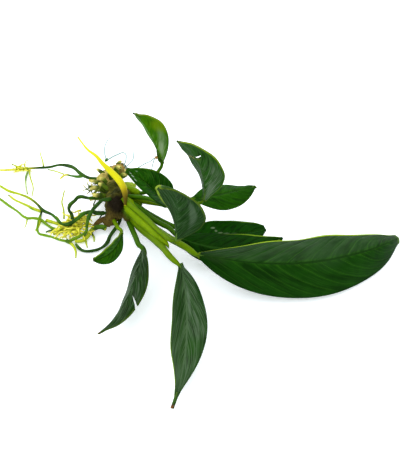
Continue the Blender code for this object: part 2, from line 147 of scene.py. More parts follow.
# %% A signal that can be added up
class Signal:
    def __init__(self, tree, socket=None):
        self.tree = tree
        self.socket = socket

    def node(self, kind, settings=None, inputs=None, output=0):
        made = self.tree.nodes.new(kind)
        for name, value in (settings or {}).items():
            setattr(made, name, value)
        for where, value in (inputs or {}).items():
            if isinstance(value, Signal):
                self.tree.links.new(value.socket, made.inputs[where])
            else:
                made.inputs[where].default_value = value
        return Signal(self.tree, made.outputs[output])

    def math(self, operation, *values):
        return self.node("ShaderNodeMath", {"operation": operation}, dict(enumerate(values)))

    def __add__(self, other):
        return self.math("ADD", self, other)

    def __sub__(self, other):
        return self.math("SUBTRACT", self, other)

    def __rsub__(self, other):
        return self.math("SUBTRACT", other, self)

    def __mul__(self, other):
        return self.math("MULTIPLY", self, other)

    def __pow__(self, other):
        return self.math("POWER", self, other)

    __radd__ = __add__
    __rmul__ = __mul__

    def rise(self, low, high):
        """A smooth step: 0 at low and 1 at high."""
        values = {"Value": self, "From Min": low, "From Max": high}
        return self.node("ShaderNodeMapRange", {"interpolation_type": "SMOOTHSTEP"}, values)

    def stripes(self, width):
        """Lines at every whole number: 1 on the line and 0 a width away from it."""
        away = self.math("PINGPONG", self, 0.5) * 2
        return 1 - away.rise(0.0, width)


print("sums are written as Python")

# %% [markdown]
# ## Words for a finish
#
# Every skin of the plant is some colour blended over another by a pattern. These helpers
# give the patterns plain names. A blade and a tube each have a flat map of their own, which
# tells how far across and how far along the piece a point lies. On a tube that Blender makes
# from a curve, the length runs across the map, so there the two are swapped.

# %% Patterns and places
def blend(factor, one, other):
    """One colour where the factor is 0 and the other where it is 1."""
    colours = [c if isinstance(c, Signal) else (*c, 1.0) for c in (one, other)]
    return factor.node("ShaderNodeMix", {"data_type": "RGBA"},
                       {0: factor, 6: colours[0], 7: colours[1]}, output=2)


def noise(where, scale, detail=3.0):
    return where.node("ShaderNodeTexNoise", None,
                      {"Vector": where, "Scale": scale, "Detail": detail}, output=0)


def drawn_out(x, y, z=0.0):
    """A made-up place, for a noise that is drawn out along a blade or a tube."""
    return x.node("ShaderNodeCombineXYZ", None, {0: x, 1: y, 2: z})


def coordinates(finish, tube=False):
    """The place on the plant, and the shares across and along the piece."""
    start = Signal(finish.node_tree)
    where = start.node("ShaderNodeTexCoord", output="Object")
    flat = start.node("ShaderNodeTexCoord", output="UV")
    shares = [flat.node("ShaderNodeSeparateXYZ", None, {0: flat}, output=i) for i in (0, 1)]
    return (where, *reversed(shares)) if tube else (where, *shares)


print("patterns ready")

# %% [markdown]
# ## Making a finish
#
# Every finish is a Principled material. Values that are the same everywhere are set on its
# sockets, and only what changes over the surface is linked to them. Fine relief is a bump,
# which bends the light and not the mesh. That is enough for fibres and for the waxy skin.

# %% Making a finish
def new_finish(name, **fixed):
    """A Principled material. Numbers that are the same everywhere are set on its sockets."""
    finish = bpy.data.materials.new(name)
    finish.use_nodes = True
    shader = finish.node_tree.nodes["Principled BSDF"]
    for socket, value in fixed.items():
        shader.inputs[socket.replace("_", " ")].default_value = value
    return finish


def feed(finish, **signals):
    """Link what changes over the surface to the material's sockets."""
    shader = finish.node_tree.nodes["Principled BSDF"]
    for socket, signal in signals.items():
        finish.node_tree.links.new(signal.socket, shader.inputs[socket.replace("_", " ")])
    return finish


def bump(height, depth, strength=0.6):
    """Relief from a height signal; depth is how deep it is, in millimetres."""
    return height.node("ShaderNodeBump", None,
                       {"Strength": strength, "Distance": depth * MM, "Height": height})


print("finish helpers ready")

# %% [markdown]
# ## The table's finish
#
# White paper under a lot of light hardly shows its grain. A very soft noise keeps it from
# being dead even, and a little light of its own makes its shadows as pale as the real ones.

# %% White table
paper = new_finish("table_white", Roughness=0.7, Emission_Color=(0.94, 0.97, 1.0, 1.0),
                   Emission_Strength=0.35)
grain = noise(coordinates(paper)[0], 6.0)
feed(paper, Base_Color=blend(grain, (0.9, 0.935, 0.97), (0.91, 0.94, 0.975)))
table.data.materials.append(paper)
print("table finish", paper.name)

# %% [markdown]
# ## Tools for working in edit mode
#
# Everything below is modelled as it would be by hand: a primitive is added, its mesh is
# opened, some points are picked and then moved, turned or stretched. A grid numbers its
# points row by row, so a row of a blade can be picked by its numbers. An operator acts on
# all that is selected, so everything else is deselected first.

# %% Picking
def select_only(*things):
    """Deselect everything, then select these. The first one is the active one."""
    bpy.ops.object.select_all(action="DESELECT")
    for thing in things:
        thing.select_set(True)
    if things:
        bpy.context.view_layer.objects.active = things[0]


def open_edit(thing):
    select_only(thing)
    bpy.ops.object.mode_set(mode="EDIT")


def close_edit():
    bpy.ops.object.mode_set(mode="OBJECT")


def pick_all():
    bpy.ops.mesh.select_all(action="SELECT")


def pick(thing, numbers):
    """Pick the points with these numbers and nothing else."""
    bpy.ops.mesh.select_all(action="DESELECT")
    mesh = bmesh.from_edit_mesh(thing.data)
    mesh.verts.ensure_lookup_table()
    for number in numbers:
        mesh.verts[number].select = True
    mesh.select_flush_mode()
    bmesh.update_edit_mesh(thing.data)


print("picking tools ready")

# %% [markdown]
# ## Turning, stretching and applying
#
# Turning without a window runs the other way round and ignores the pivot, so one small
# helper changes the sign and always gives the centre. A modifier is applied at once, because
# the finished pieces are plain meshes. The flat map is read back to find the veins later.

# %% Moving and modifiers
def turn(angle, axis, centre=(0, 0, 0)):
    """Turn the picked points by so many degrees about an axis through the centre."""
    bpy.ops.transform.rotate(value=-radians(angle), orient_axis=axis, center_override=centre)


def stretch(values, centre=(0, 0, 0)):
    bpy.ops.transform.resize(value=values, center_override=centre)


def apply_modifier(thing, kind, **values):
    """Add a modifier with these values and apply it."""
    select_only(thing)
    made = thing.modifiers.new(kind.lower(), kind)
    for name, value in values.items():
        setattr(made, name, value)
    bpy.ops.object.modifier_apply(modifier=made.name)


def flat_places(thing):
    """Where each point lies on the flat blade: its share across and its share along."""
    layer = thing.data.uv_layers.active.data
    return {loop.vertex_index: tuple(layer[loop.index].uv) for loop in thing.data.loops}


print("moving tools ready")

# %% [markdown]
# ## The outline of a blade
#
# A real blade unrolls from a bud as a flat sheet. Its outline swells to a belly and runs out
# in a tip. The outline is worked out as a half width at each share of the length, from the
# belly's place and from how full the blade is towards its base and its tip. A formula takes
# eleven different leaves, where drawing each outline by hand would take eleven curves.

# %% Half widths
COLUMNS = 8
ROWS = 32
BASE_HALF = 1.1
TIP_HALF = 0.8

BLADES = {}


def half_width(leaf, along):
    """Half of the blade's width, in millimetres, at a share of its length."""
    belly = leaf["belly"]
    if along < belly:
        share = (1 - (1 - along / belly) ** 2) ** leaf["base_full"]
    else:
        share = max(1 - ((along - belly) / (1 - belly)) ** 2, 0.0) ** leaf["tip_full"]
    tip_half = leaf.get("tip_half", TIP_HALF)
    return max(leaf["width"] / 2 * share, BASE_HALF + (tip_half - BASE_HALF) * along)


def number(row, column):
    """A grid point's number. The midrib is column 0 and the margins are -8 and 8."""
    return row * (2 * COLUMNS + 1) + column + COLUMNS


print("a blade's grid has", number(ROWS, COLUMNS) + 1, "points")

# %% [markdown]
# ## Folding a blade
#
# The sheet widens, folds along its midrib and waves at its margins. The same order works
# here: a flat grid is arched across, then each row is narrowed to the outline, its two
# halves are folded at the midrib, and their outer parts are turned a little up and down.

# %% Arching and folding
ARCHING = 20.0
FULL_FOLD_HALF = 3.5
WAVE = 3.0
WAVES = 3


def arch_across(blade, width):
    rows = range(ROWS + 1)
    for side in (1, -1):
        for k in range(COLUMNS - 1, 0, -1):
            pick(blade, [number(r, side * c) for r in rows for c in range(k + 1, COLUMNS + 1)])
            turn(side * ARCHING / COLUMNS, "Y", (side * width / 2 * k / COLUMNS, 0, 0))
        pick(blade, [number(r, side * c) for r in rows for c in range(1, COLUMNS + 1)])
        turn(side * ARCHING * (0.5 / COLUMNS - 0.5), "Y")


def shape_rows(blade, leaf):
    """Narrow each row to the outline, then fold its two halves and wave their margins."""
    for row in range(ROWS + 1):
        along = row / ROWS
        middle = (0, leaf["length"] * MM * along, 0)
        half = half_width(leaf, along)
        share = half / leaf["width"] * 2
        whole_row = [number(row, c) for c in range(-COLUMNS, COLUMNS + 1)]
        pick(blade, whole_row)
        stretch((share, 1, share), middle)
        narrow = min(half / FULL_FOLD_HALF, 1.0)
        cup = leaf["cup"] * (1 - along) ** 2
        aside = leaf.get("rib_aside", 0.0) * 4 * along * (1 - along)
        for side, fold in ((1, "fold_right"), (-1, "fold_left")):
            outer = WAVE * narrow * sin(WAVES * 2 * pi * along + side)
            pick(blade, [number(row, side * c) for c in range(COLUMNS // 2 + 1, COLUMNS + 1)])
            turn(side * outer, "Y", (side * half / 2 * MM, middle[1], 0))
            pick(blade, [number(row, side * c) for c in range(1, COLUMNS + 1)])
            stretch((1 - side * aside, 1, 1 - side * aside), middle)
            turn(side * (leaf[fold] - cup) * narrow, "Y", middle)
        pick(blade, whole_row)
        bpy.ops.transform.translate(value=(aside * half * MM, 0, 0))


print("margins wave by", WAVE, "degrees")

# %% [markdown]
# ## Bending a blade
#
# A heavy blade hangs, and each one leaves its stalk in a direction of its own. From the tip
# to the base, all that lies beyond a row is twisted, swept sideways and bent down by a small
# angle, so the bends add up to a smooth curve. At the end the whole blade leans into place.

# %% Bends and place
def bend_blade(blade, leaf):
    """From the tip to the base, twist, sweep and bend all that lies beyond each row."""
    for row in range(ROWS - 1, -1, -1):
        centre = (0, leaf["length"] * MM * row / ROWS, 0)
        pick(blade, range(number(row + 1, -COLUMNS), number(ROWS, COLUMNS) + 1))
        bend = leaf["droop"] + leaf["tip_droop"] * 3 * ((row + 0.5) / ROWS) ** 2
        turn(leaf["twist"] / ROWS, "Y", centre)
        turn(leaf["sweep"] / ROWS, "Z", centre)
        turn(-bend / ROWS, "X", centre)


def lean_blade(leaf):
    pick_all()
    turn(leaf["roll"], "Y")
    turn(leaf["climb"], "X")
    turn(leaf["heading"] - 90, "Z")
    bpy.ops.transform.translate(value=place(leaf["base"]))


print("each blade is bent in", ROWS, "steps")

# %% [markdown]
# ## Veins
#
# On an anubias the midrib is a groove on the upper side. Side veins leave it at a slant,
# curve towards the tip and end near the margin, and they are sunk too. The points near a
# vein are pushed in, in two steps, so that the groove has a soft edge.

# %% Sinking the veins
VEIN_LEAN = 0.16
VEIN_CURL = 0.12
VEIN_STEPS = ((0.16, 0.05), (0.08, 0.06))
RIB_STEPS = ((1.0, 0.12), (0.5, 0.16))
VEINS_FROM, VEINS_TO, RIB_END = 0.04, 0.92, 0.97


def vein_line(across, along, leaf):
    """A number that is whole on every side vein."""
    out = abs(2 * across - 1)
    start = along - leaf.get("lean", VEIN_LEAN) * out - VEIN_CURL * out * out
    return start * leaf["veins"] + (0.5 if across > 0.5 else 0.0)


def sink(blade, near, depth):
    pick(blade, near)
    bpy.ops.transform.shrink_fatten(value=-depth * MM)


def sink_veins(blade, leaf):
    flat = flat_places(blade)
    open_edit(blade)
    for reach, depth in VEIN_STEPS:
        near = []
        for point, (across, along) in flat.items():
            line = vein_line(across, along, leaf)
            if abs(line - round(line)) < reach and VEINS_FROM < abs(2 * across - 1) < VEINS_TO:
                near.append(point)
        sink(blade, near, depth)
    for reach, depth in RIB_STEPS:
        near = [point for point, (across, along) in flat.items()
                if abs(2 * across - 1) * half_width(leaf, along) < reach and along < RIB_END]
        sink(blade, near, depth)
    close_edit()


print("the midrib is", sum(depth for _, depth in RIB_STEPS), "mm deep")

# %% [markdown]
# ## A whole blade
#
# The bent sheet is subdivided until its points are closer than the veins, and only then gets
# its thickness. The thickness comes last, because a sheet with two sides would have to be
# folded twice. It has three finishes: the upper skin, the lower skin and the rim between
# them. A blade that shows its lower side to the camera is turned inside out first.

# %% Grid to blade
THICKNESS = 0.6


def make_blade(name, shown_below):
    """A whole blade: grid, outline, folds, bends, place, veins and thickness."""
    leaf = BLADES[name]
    select_only()
    bpy.ops.mesh.primitive_grid_add(x_subdivisions=2 * COLUMNS, y_subdivisions=ROWS, size=1,
                                    location=(0, 0, 0), calc_uvs=True)
    blade = bpy.context.object
    blade.name = name.replace("leaf", "blade")
    open_edit(blade)
    pick_all()
    bpy.ops.transform.translate(value=(0, 0.5, 0))
    stretch((leaf["width"] * MM, leaf["length"] * MM, 1))
    arch_across(blade, leaf["width"] * MM)
    shape_rows(blade, leaf)
    bend_blade(blade, leaf)
    lean_blade(leaf)
    if shown_below:
        bpy.ops.mesh.flip_normals()
    close_edit()
    apply_modifier(blade, "SUBSURF", levels=2)
    sink_veins(blade, leaf)
    for _ in range(3):
        blade.data.materials.append(None)
    apply_modifier(blade, "SOLIDIFY", thickness=THICKNESS * MM, offset=0.0,
                   use_even_offset=False, material_offset=1, material_offset_rim=2)
    bpy.ops.object.shade_smooth()
    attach(blade, "root")
    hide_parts(name)
    print(blade.name, len(blade.data.polygons), "faces")
    return blade


# %% [markdown]
# ## The finish of a blade
#
# A blade is leathery and waxy. Its green varies along the blade, the side veins show as fine
# paler lines, the margin is a thin yellow-green line and old tips turn brown. The margin line
# is partly the margin's own paler green and partly painted light. All of that follows the
# flat blade, so the finish reads the flat map (across and along) and not the place in space.
# Spots are ovals on the same map: painted highlights, painted sheen and painted shade, and a
# few real flecks.

# %% Spots and margins
def spot(across, along, leaf, middle, reach):
    """1 inside an oval spot on the blade; its reach across and along is in millimetres."""
    sideways = (across - middle[0]) * (leaf["width"] / reach[0])
    onward = (along - middle[1]) * (leaf["length"] / reach[1])
    return 1 - ((sideways * sideways + onward * onward) ** 0.5).rise(0.35, 1.0)


def from_midrib(across):
    """0 on the midrib and 1 on both margins."""
    side = across * 2 - 1
    return side.math("ABSOLUTE", side)


def brightness(leaf, across, along):
    """How strongly the margin line shows: a share for each side, and more near the tip. The line
    is partly the margin's own paler green and partly painted light, where light shines through
    the upper margin.
    """
    left, right = leaf["bright"]
    side = left + across.rise(0.48, 0.52) * (right - left)
    tipward = leaf["bright_tip"]
    return side * ((1 - tipward) + tipward * along.rise(0.3, 0.8))


print("spots and margins ready")

# %% [markdown]
# ## The upper skin
#
# The layers go on from the broadest to the finest: cloudy green, a painted grey sheen where
# the wax would catch the light, painted shade in the folds, veins, spots, painted sheen
# streaks, the midrib, the margin and the tip. Each blade gets its own greens, because no two
# of them are the same age. The painted sheen and its streaks have a share for each half,
# because one half is turned up to the light.

# %% Leaf finish
MARGIN_FROM = 0.93
MARGIN_WIDE = 0.04
FINE_VEINS = 5
FOLD_SHADE = 0.38


def leaf_finish(name, deep, light, vein, margin, tip=(0.06, 0.045, 0.012), vein_share=0.3,
                fine_share=0.25, rib=(0.008, 0.035, 0.003), rib_share=0.6,
                bloom=(0.018, 0.052, 0.012), blooms=(0.0, 0.0), streaks=0.0,
                streak=(0.08, 0.13, 0.07), streak_fade=(2.0, 3.0), streak_sides=(1.0, 1.0),
                patches=0.5, rough=0.42, spots=()):
    leaf = BLADES[name]
    finish = new_finish(name.replace("leaf", "skin"), Specular_IOR_Level=0.02)
    where, across, along = coordinates(finish)
    out = from_midrib(across)
    from_rib = out * (leaf["width"] / 2)
    right_half = across.rise(0.48, 0.52)
    inside = 1 - out.rise(0.86, 0.97)
    start = along - leaf.get("lean", VEIN_LEAN) * out - VEIN_CURL * (out * out)
    wander = noise(where, 90.0, 2.0) - 0.5
    main_lines = (start * leaf["veins"] + right_half * 0.5 + wander * 0.3).stripes(0.16)
    fine_lines = (start * (leaf["veins"] * FINE_VEINS) + wander * 1.6).stripes(0.8)
    mottle = noise(where, 260.0, 4.0).rise(0.3, 0.75)
    broad = noise(where, 40.0, 2.0).rise(0.3, 0.7)
    brushed = noise(drawn_out(start * 30.0, out * 2.0, right_half * 5), 1.4, 4.0)
    shaded = noise(drawn_out(start * 14.0, out * 1.5, right_half * 9), 1.0, 2.0)
    green = blend(broad * 0.5 + mottle * 0.5, deep, light)
    # Painted sheen: each half is greyed by its share, where its wax would catch the light.
    waxy = blooms[0] + right_half * (blooms[1] - blooms[0])
    green = blend(waxy * (0.25 + brushed.rise(0.32, 0.68) * 1.2), green, bloom)
    # Painted shade in the folds: soft patches of a darker copy of the deep green.
    green = blend(shaded.rise(0.46, 0.62) * patches, green, tuple(FOLD_SHADE * c for c in deep))
    green = blend(fine_lines * brushed.rise(0.38, 0.62) * fine_share * inside, green, vein)
    green = blend(main_lines * vein_share * inside, green, vein)
    # Spots: painted highlights, painted sheen and painted shade, and a few real flecks.
    for middle, reach, colour, share in spots:
        green = blend(spot(across, along, leaf, middle, reach) * share, green, colour)
    # Painted sheen streaks along the veins, with a share for each half.
    kept = (1 - along.rise(*streak_fade)) * inside
    kept = kept * (streak_sides[0] + right_half * (streak_sides[1] - streak_sides[0]))
    green = blend(brushed.rise(0.48, 0.62) * streaks * kept, green, streak)
    # The midrib line: where its colour is dark, it is painted shade in the groove; where it is
    # pale, it is the midrib's own colour.
    rib_line = 1 - from_rib.rise(0.35, 0.9)
    rib_flank = 1 - from_rib.rise(0.8, 2.4)
    green = blend(rib_flank * 0.3 * brushed.rise(0.35, 0.6), green, vein)
    green = blend(rib_line * rib_share, green, rib)
    # The margin line: partly the margin's own paler green, partly painted light where light
    # shines through it.
    inner = MARGIN_FROM - along.rise(0.5, 0.9) * 0.08
    edge = out.rise(inner, inner + MARGIN_WIDE) * brightness(leaf, across, along)
    green = blend(edge, green, margin)
    green = blend(along.rise(0.965, 0.998), green, tip)
    green = blend(0.5 - 0.5 * (along * leaf["length"]).rise(0.0, 1.3), green, margin)
    relief = (1 - main_lines * 0.7) + fine_lines * 0.1 + mottle * 0.12 - rib_line * 0.7
    return feed(finish, Base_Color=green, Normal=bump(relief, 0.2, 0.7),
                Roughness=mottle * 0.14 + fine_lines * 0.05 + rough)


# %% [markdown]
# ## The lower skin and the rim
#
# The underside of a leaf is duller and paler, with a pale midrib, and one finish does for
# all. The rim is the cut edge between the two skins. It is yellow-green where the margin line
# is, which is partly painted light, and dark elsewhere, so that a bright line follows the
# outline from every side.

# %% Underside and rim
under = new_finish("underside", Specular_IOR_Level=0.05)
where, across, _ = coordinates(under)
soft = noise(where, 200.0, 4.0)
below = blend(soft.rise(0.3, 0.7), (0.0225, 0.066, 0.0066), (0.0425, 0.102, 0.0135))
below = blend((1 - from_midrib(across).rise(0.03, 0.12)) * 0.7, below, (0.08, 0.162, 0.021))
feed(under, Base_Color=below, Roughness=soft * 0.15 + 0.45, Normal=bump(soft, 0.1, 0.5))


def rim_finish(name):
    leaf = BLADES[name]
    finish = new_finish(name.replace("leaf", "margin"), Specular_IOR_Level=0.02)
    where, across, along = coordinates(finish)
    pale = blend(noise(where, 120.0), (0.12, 0.2, 0.008), (0.26, 0.34, 0.03))
    # The bright rim follows the margin line, so it is partly painted light too.
    colour = blend(brightness(leaf, across, along), (0.01, 0.04, 0.002), pale)
    return feed(finish, Base_Color=colour, Roughness=noise(where, 300.0) * 0.2 + 0.4)


print("underside", under.name)

# %% [markdown]
# ## Openings in a blade
#
# One blade is torn at its margin and one was nibbled right through. Both openings are cut
# after the blade has its thickness, by a prism that follows their outline, so that they show
# a real cut edge. The prism is a filled circle whose corners are moved, then extruded.

# %% Cutting and finishing a blade
def cut_opening(blade, corners, through):
    """Cut a prism through the blade. Through is half of the prism, in millimetres."""
    select_only()
    bpy.ops.mesh.primitive_circle_add(vertices=len(corners), radius=MM, fill_type="NGON",
                                      location=(0, 0, 0))
    cutter = bpy.context.object
    open_edit(cutter)
    for i, corner in enumerate(corners):
        now = bmesh.from_edit_mesh(cutter.data).verts
        now.ensure_lookup_table()
        shift = place(corner) - now[i].co
        pick(cutter, [i])
        bpy.ops.transform.translate(value=shift)
    half = Vector(through) * MM
    pick_all()
    bpy.ops.transform.translate(value=-half)
    bpy.ops.mesh.extrude_region_move(TRANSFORM_OT_translate={"value": 2 * half})
    pick_all()
    bpy.ops.mesh.normals_make_consistent(inside=False)
    close_edit()
    apply_modifier(blade, "BOOLEAN", object=cutter, operation="DIFFERENCE", solver="EXACT")
    bpy.data.objects.remove(cutter, do_unlink=True)
    print("opening in", blade.name)


def grow(name, *greens, shown_below=False, opening=None, **look):
    """One leaf blade: its mesh, its opening if it has one, and its three finishes."""
    blade = make_blade(name, shown_below)
    if opening:
        cut_opening(blade, *opening)
    for slot, finish in enumerate((leaf_finish(name, *greens, **look), under, rim_finish(name))):
        blade.data.materials[slot] = finish


# %% [markdown]
# ## The largest blade
#
# The blades come one by one, each with its shape and its own greens: deep, light, the veins
# and the margin. The largest one lies to the right and nearly touches the table. It is deep
# green, shows its veins best and has a bright line all along its upper margin, partly painted
# light. Its upper half carries a painted grey sheen.

# %% Largest blade
BLADES["leaf_right"] = dict(
    base=(-4.6, -35.7, 19.0), heading=-11, climb=-1, roll=23, length=110.5, width=39.4,
    droop=14, tip_droop=43, sweep=41, twist=1, fold_left=41, fold_right=33, cup=0,
    belly=0.47, base_full=0.8, tip_full=0.81, rib_aside=0.15, tip_half=2.4,
    veins=11, bright=(0.9, 0.0), bright_tip=0.0)
grow("leaf_right", (0.0019, 0.02, 0.0002), (0.0042, 0.036, 0.0005), (0.018, 0.08, 0.003),
     (0.27, 0.42, 0.01), tip=(0.09, 0.15, 0.04), vein_share=0.45, fine_share=0.22,
     rib=(0.001, 0.0125, 0.0002), rib_share=0.5, bloom=(0.022, 0.056, 0.015), rough=0.4,
     blooms=(0.44, 0.05),
     spots=[((0.5, 0.07), (9.0, 9.0), (0.01, 0.03, 0.005), 0.7),
            ((0.35, 0.55), (14.0, 14.0), (0.016, 0.05, 0.011), 0.5)])

# %% [markdown]
# ## The front blade
#
# This long narrow blade points to the camera. It is greyer, because its upper side is turned
# to the light, and that grey is painted in as sheen; it bends back at its tip. Its midrib is
# pale, not dark, and its pale streaks and grey spots are painted sheen.

# %% Front blade
BLADES["leaf_front"] = dict(
    base=(-12.6, -42.2, 20.0), heading=-75.7, climb=-9, roll=30, length=68, width=23,
    droop=-1, tip_droop=-7, sweep=-34, twist=16, fold_left=-2, fold_right=20, cup=15,
    belly=0.56, base_full=0.98, tip_full=2.25,
    veins=8, lean=0.34, bright=(0.0, 0.8), bright_tip=0.3)
grow("leaf_front", (0.0075, 0.03, 0.0035), (0.017, 0.05, 0.009), (0.06, 0.11, 0.045),
     (0.21, 0.35, 0.012), tip=(0.14, 0.045, 0.012), vein_share=0.32, fine_share=0.35,
     rib=(0.065, 0.115, 0.052), bloom=(0.036, 0.08, 0.03), streak_sides=(1.0, 0.5), streaks=0.5,
     streak=(0.085, 0.13, 0.075), patches=0.75, blooms=(0.45, 0.15),
     # The two grey spots are painted sheen.
     spots=[((0.72, 0.3), (5.0, 11.0), (0.0045, 0.026, 0.001), 0.75),
            ((0.3, 0.62), (6.0, 6.0), (0.012, 0.06, 0.003), 0.5),
            ((0.4, 0.3), (1.6, 11.0), (0.08, 0.12, 0.072), 0.6),
            ((0.06, 0.3), (1.6, 12.0), (0.005, 0.03, 0.002), 0.8),
            ((0.62, 0.8), (2.5, 8.0), (0.04, 0.085, 0.034), 0.5)])

# %% [markdown]
# ## The torn blade
#
# It is rolled steeply, so its two halves meet the light differently: one is dark and the
# other gets a painted grey sheen. Its dark spot by the midrib is painted fold shade. A narrow
# tear starts at its right margin and follows a side vein.

# %% Torn blade
BLADES["leaf_split"] = dict(
    base=(-30.5, -25.6, 13.0), heading=-94, climb=-4, roll=63, length=52.5, width=17,
    droop=-15, tip_droop=-20, sweep=-17, twist=-20, fold_left=36, fold_right=20, cup=40,
    belly=0.43, base_full=0.9, tip_full=1.05,
    veins=8, lean=0.4, bright=(0.15, 0.8), bright_tip=0.3)
grow("leaf_split", (0.0025, 0.0145, 0.0005), (0.007, 0.036, 0.0012), (0.03, 0.085, 0.012),
     (0.154, 0.28, 0.018), tip=(0.112, 0.03, 0.012), vein_share=0.25, fine_share=0.3,
     rib=(0.003, 0.016, 0.0008), bloom=(0.03, 0.066, 0.024), streak_sides=(0.35, 1.0),
     streaks=0.8, streak=(0.125, 0.175, 0.115), patches=0.9, rough=0.36, blooms=(0.04, 0.4),
     opening=([(-30.65, -62.45, 12.0), (-32.2, -57.8, 12.15), (-34.13, -53.21, 11.53),
               (-32.7, -58.8, 11.9), (-31.8, -63.8, 11.5)], (-1.4, -0.5, 4.8)),
     # The dark spot is painted fold shade by the midrib, and the grey ones are painted sheen.
     spots=[((0.52, 0.22), (2.4, 8.0), (0.001, 0.01, 0.0002), 0.95),
            ((0.28, 0.12), (1.4, 5.0), (0.09, 0.13, 0.08), 0.7),
            ((0.65, 0.75), (7.0, 7.0), (0.07, 0.11, 0.062), 0.45)])

# %% [markdown]
# ## The small blade
#
# The youngest blade at the front is short, hollow and a fresh green. It needs few veins, and
# one half carries a painted sheen.

# %% Small blade
BLADES["leaf_small"] = dict(
    base=(-41.5, -12.0, 10.0), heading=-98, climb=-17, roll=-73, length=22.3, width=11.3,
    droop=38, tip_droop=26, sweep=-33, twist=-6, fold_left=-6, fold_right=-12, cup=4,
    belly=0.5, base_full=1.1, tip_full=0.8,
    veins=6, bright=(0.0, 0.7), bright_tip=0.0)
grow("leaf_small", (0.008, 0.06, 0.0002), (0.02, 0.105, 0.0006), (0.054, 0.1805, 0.003),
     (0.154, 0.3, 0.008), bloom=(0.042, 0.1425, 0.0067), patches=0.7, blooms=(0.0, 0.35),
     spots=[((0.75, 0.85), (3.5, 3.5), (0.006, 0.04, 0.0003), 0.8)])

# %% [markdown]
# ## The back left blade
#
# It stands upright and shows its lower side. Light comes through it, so it is yellow-green,
# with painted sheen streaks and painted shade in its folds. Grey spots of painted sheen, a
# painted highlight at its tip and one brown fleck are painted on it, beside darker and
# yellower spots.

# %% Back left blade
BLADES["leaf_back_left"] = dict(
    base=(-22.8, 19.9, 26.0), heading=143, climb=72, roll=85, length=36, width=17,
    droop=22, tip_droop=15, sweep=11, twist=11, fold_left=-32, fold_right=-24, cup=14,
    belly=0.54, base_full=0.91, tip_full=1.0, tip_half=1.2,
    veins=7, lean=0.36, bright=(0.7, 0.0), bright_tip=1.0)
grow("leaf_back_left", (0.026, 0.115, 0.0002), (0.062, 0.19, 0.0004), (0.1, 0.26, 0.002),
     (0.2, 0.3, 0.006), vein_share=0.15, rib=(0.024, 0.11, 0.0006), rib_share=0.5, streaks=0.6,
     streak=(0.2, 0.3, 0.14), streak_fade=(0.25, 0.6), tip=(0.02, 0.07, 0.003), shown_below=True,
     # Grey spots are painted sheen, the small pale one at the tip is a painted highlight, and the
     # brown fleck near the margin is the blade's own.
     spots=[((0.2, 0.4), (2.5, 9.0), (0.12, 0.21, 0.08), 0.6),
            ((0.3, 0.24), (2.2, 6.0), (0.23, 0.32, 0.17), 0.75),
            ((0.05, 0.3), (2.5, 9.0), (0.018, 0.09, 0.001), 0.6),
            ((0.1, 0.62), (6.0, 6.0), (0.14, 0.23, 0.002), 0.6),
            ((0.55, 0.3), (2.2, 8.0), (0.01, 0.066, 0.0004), 0.9),
            ((0.42, 0.5), (2.0, 6.0), (0.02, 0.1, 0.0004), 0.7),
            ((0.5, 0.94), (2.6, 2.6), (0.014, 0.08, 0.001), 0.8),
            ((0.55, 0.9), (0.8, 0.8), (0.2, 0.3, 0.16), 0.8),
            ((0.96, 0.22), (1.6, 1.6), (0.084, 0.0375, 0.006), 1.0)])

# %% [markdown]
# ## The blade with a hole
#
# The middle one of the upright blades was nibbled: a slanted slit goes through it, and the
# tissue beside the slit has turned yellow. It shows its lower side as well.

# %% Back middle blade
BLADES["leaf_back_mid"] = dict(
    base=(-2.1, -9.4, 28.0), heading=199, climb=98, roll=31, length=44, width=20,
    droop=34, tip_droop=17, sweep=-21, twist=2, fold_left=-15, fold_right=-1, cup=50,
    belly=0.37, base_full=0.85, tip_full=0.56, tip_half=1.2,
    veins=8, lean=0.36, bright=(0.8, 0.1), bright_tip=0.7)
grow("leaf_back_mid", (0.011, 0.065, 0.003), (0.024, 0.105, 0.009), (0.06, 0.16, 0.03),
     (0.2, 0.32, 0.01), vein_share=0.2, fine_share=0.3, rib=(0.035, 0.126, 0.015), rib_share=0.3,
     bloom=(0.045, 0.1, 0.032), streaks=0.7, streak=(0.15, 0.21, 0.13), streak_fade=(0.2, 0.75),
     patches=0.8, tip=(0.012, 0.04, 0.004), blooms=(0.2, 0.05), shown_below=True,
     opening=([(-6.99, -6.42, 52.95), (-5.05, -9.68, 54.5), (-3.12, -11.95, 57.5),
               (-3.48, -12.1, 58.05), (-5.57, -9.76, 55.72), (-7.2, -6.6, 53.6)],
               (-3.0, -3.6, -1.8)),
     # The first two spots are painted sheen near the base; the last three are the yellowed tissue
     # beside the slit.
     spots=[((0.3, 0.14), (3.5, 7.0), (0.15, 0.21, 0.13), 0.6),
            ((0.2, 0.36), (4.0, 9.0), (0.055, 0.105, 0.042), 0.6),
            ((0.76, 0.575), (2.6, 0.8), (0.28, 0.24, 0.03), 0.9),
            ((0.93, 0.535), (1.6, 0.8), (0.22, 0.17, 0.03), 0.9),
            ((0.55, 0.62), (3.2, 1.6), (0.2, 0.24, 0.02), 0.6)])

# %% [markdown]
# ## The back right blade
#
# A plain and round blade, half hidden by the others. It only needs its green, a little
# painted sheen on one half and its margin, so it has no spots of its own.

# %% Back right blade
BLADES["leaf_back_right"] = dict(
    base=(-7.8, 0.6, 20.0), heading=8, climb=-1, roll=14, length=35.3, width=18.4,
    droop=3, tip_droop=27, sweep=27, twist=-9, fold_left=32, fold_right=18, cup=34,
    belly=0.45, base_full=0.94, tip_full=1.06,
    veins=7, bright=(0.5, 0.1), bright_tip=0.5)
grow("leaf_back_right", (0.004, 0.0352, 0.0001), (0.0112, 0.0672, 0.0003), (0.028, 0.1088, 0.001),
     (0.14, 0.28, 0.008), vein_share=0.22, tip=(0.07, 0.12, 0.012), patches=0.6,
     blooms=(0.1, 0.0))

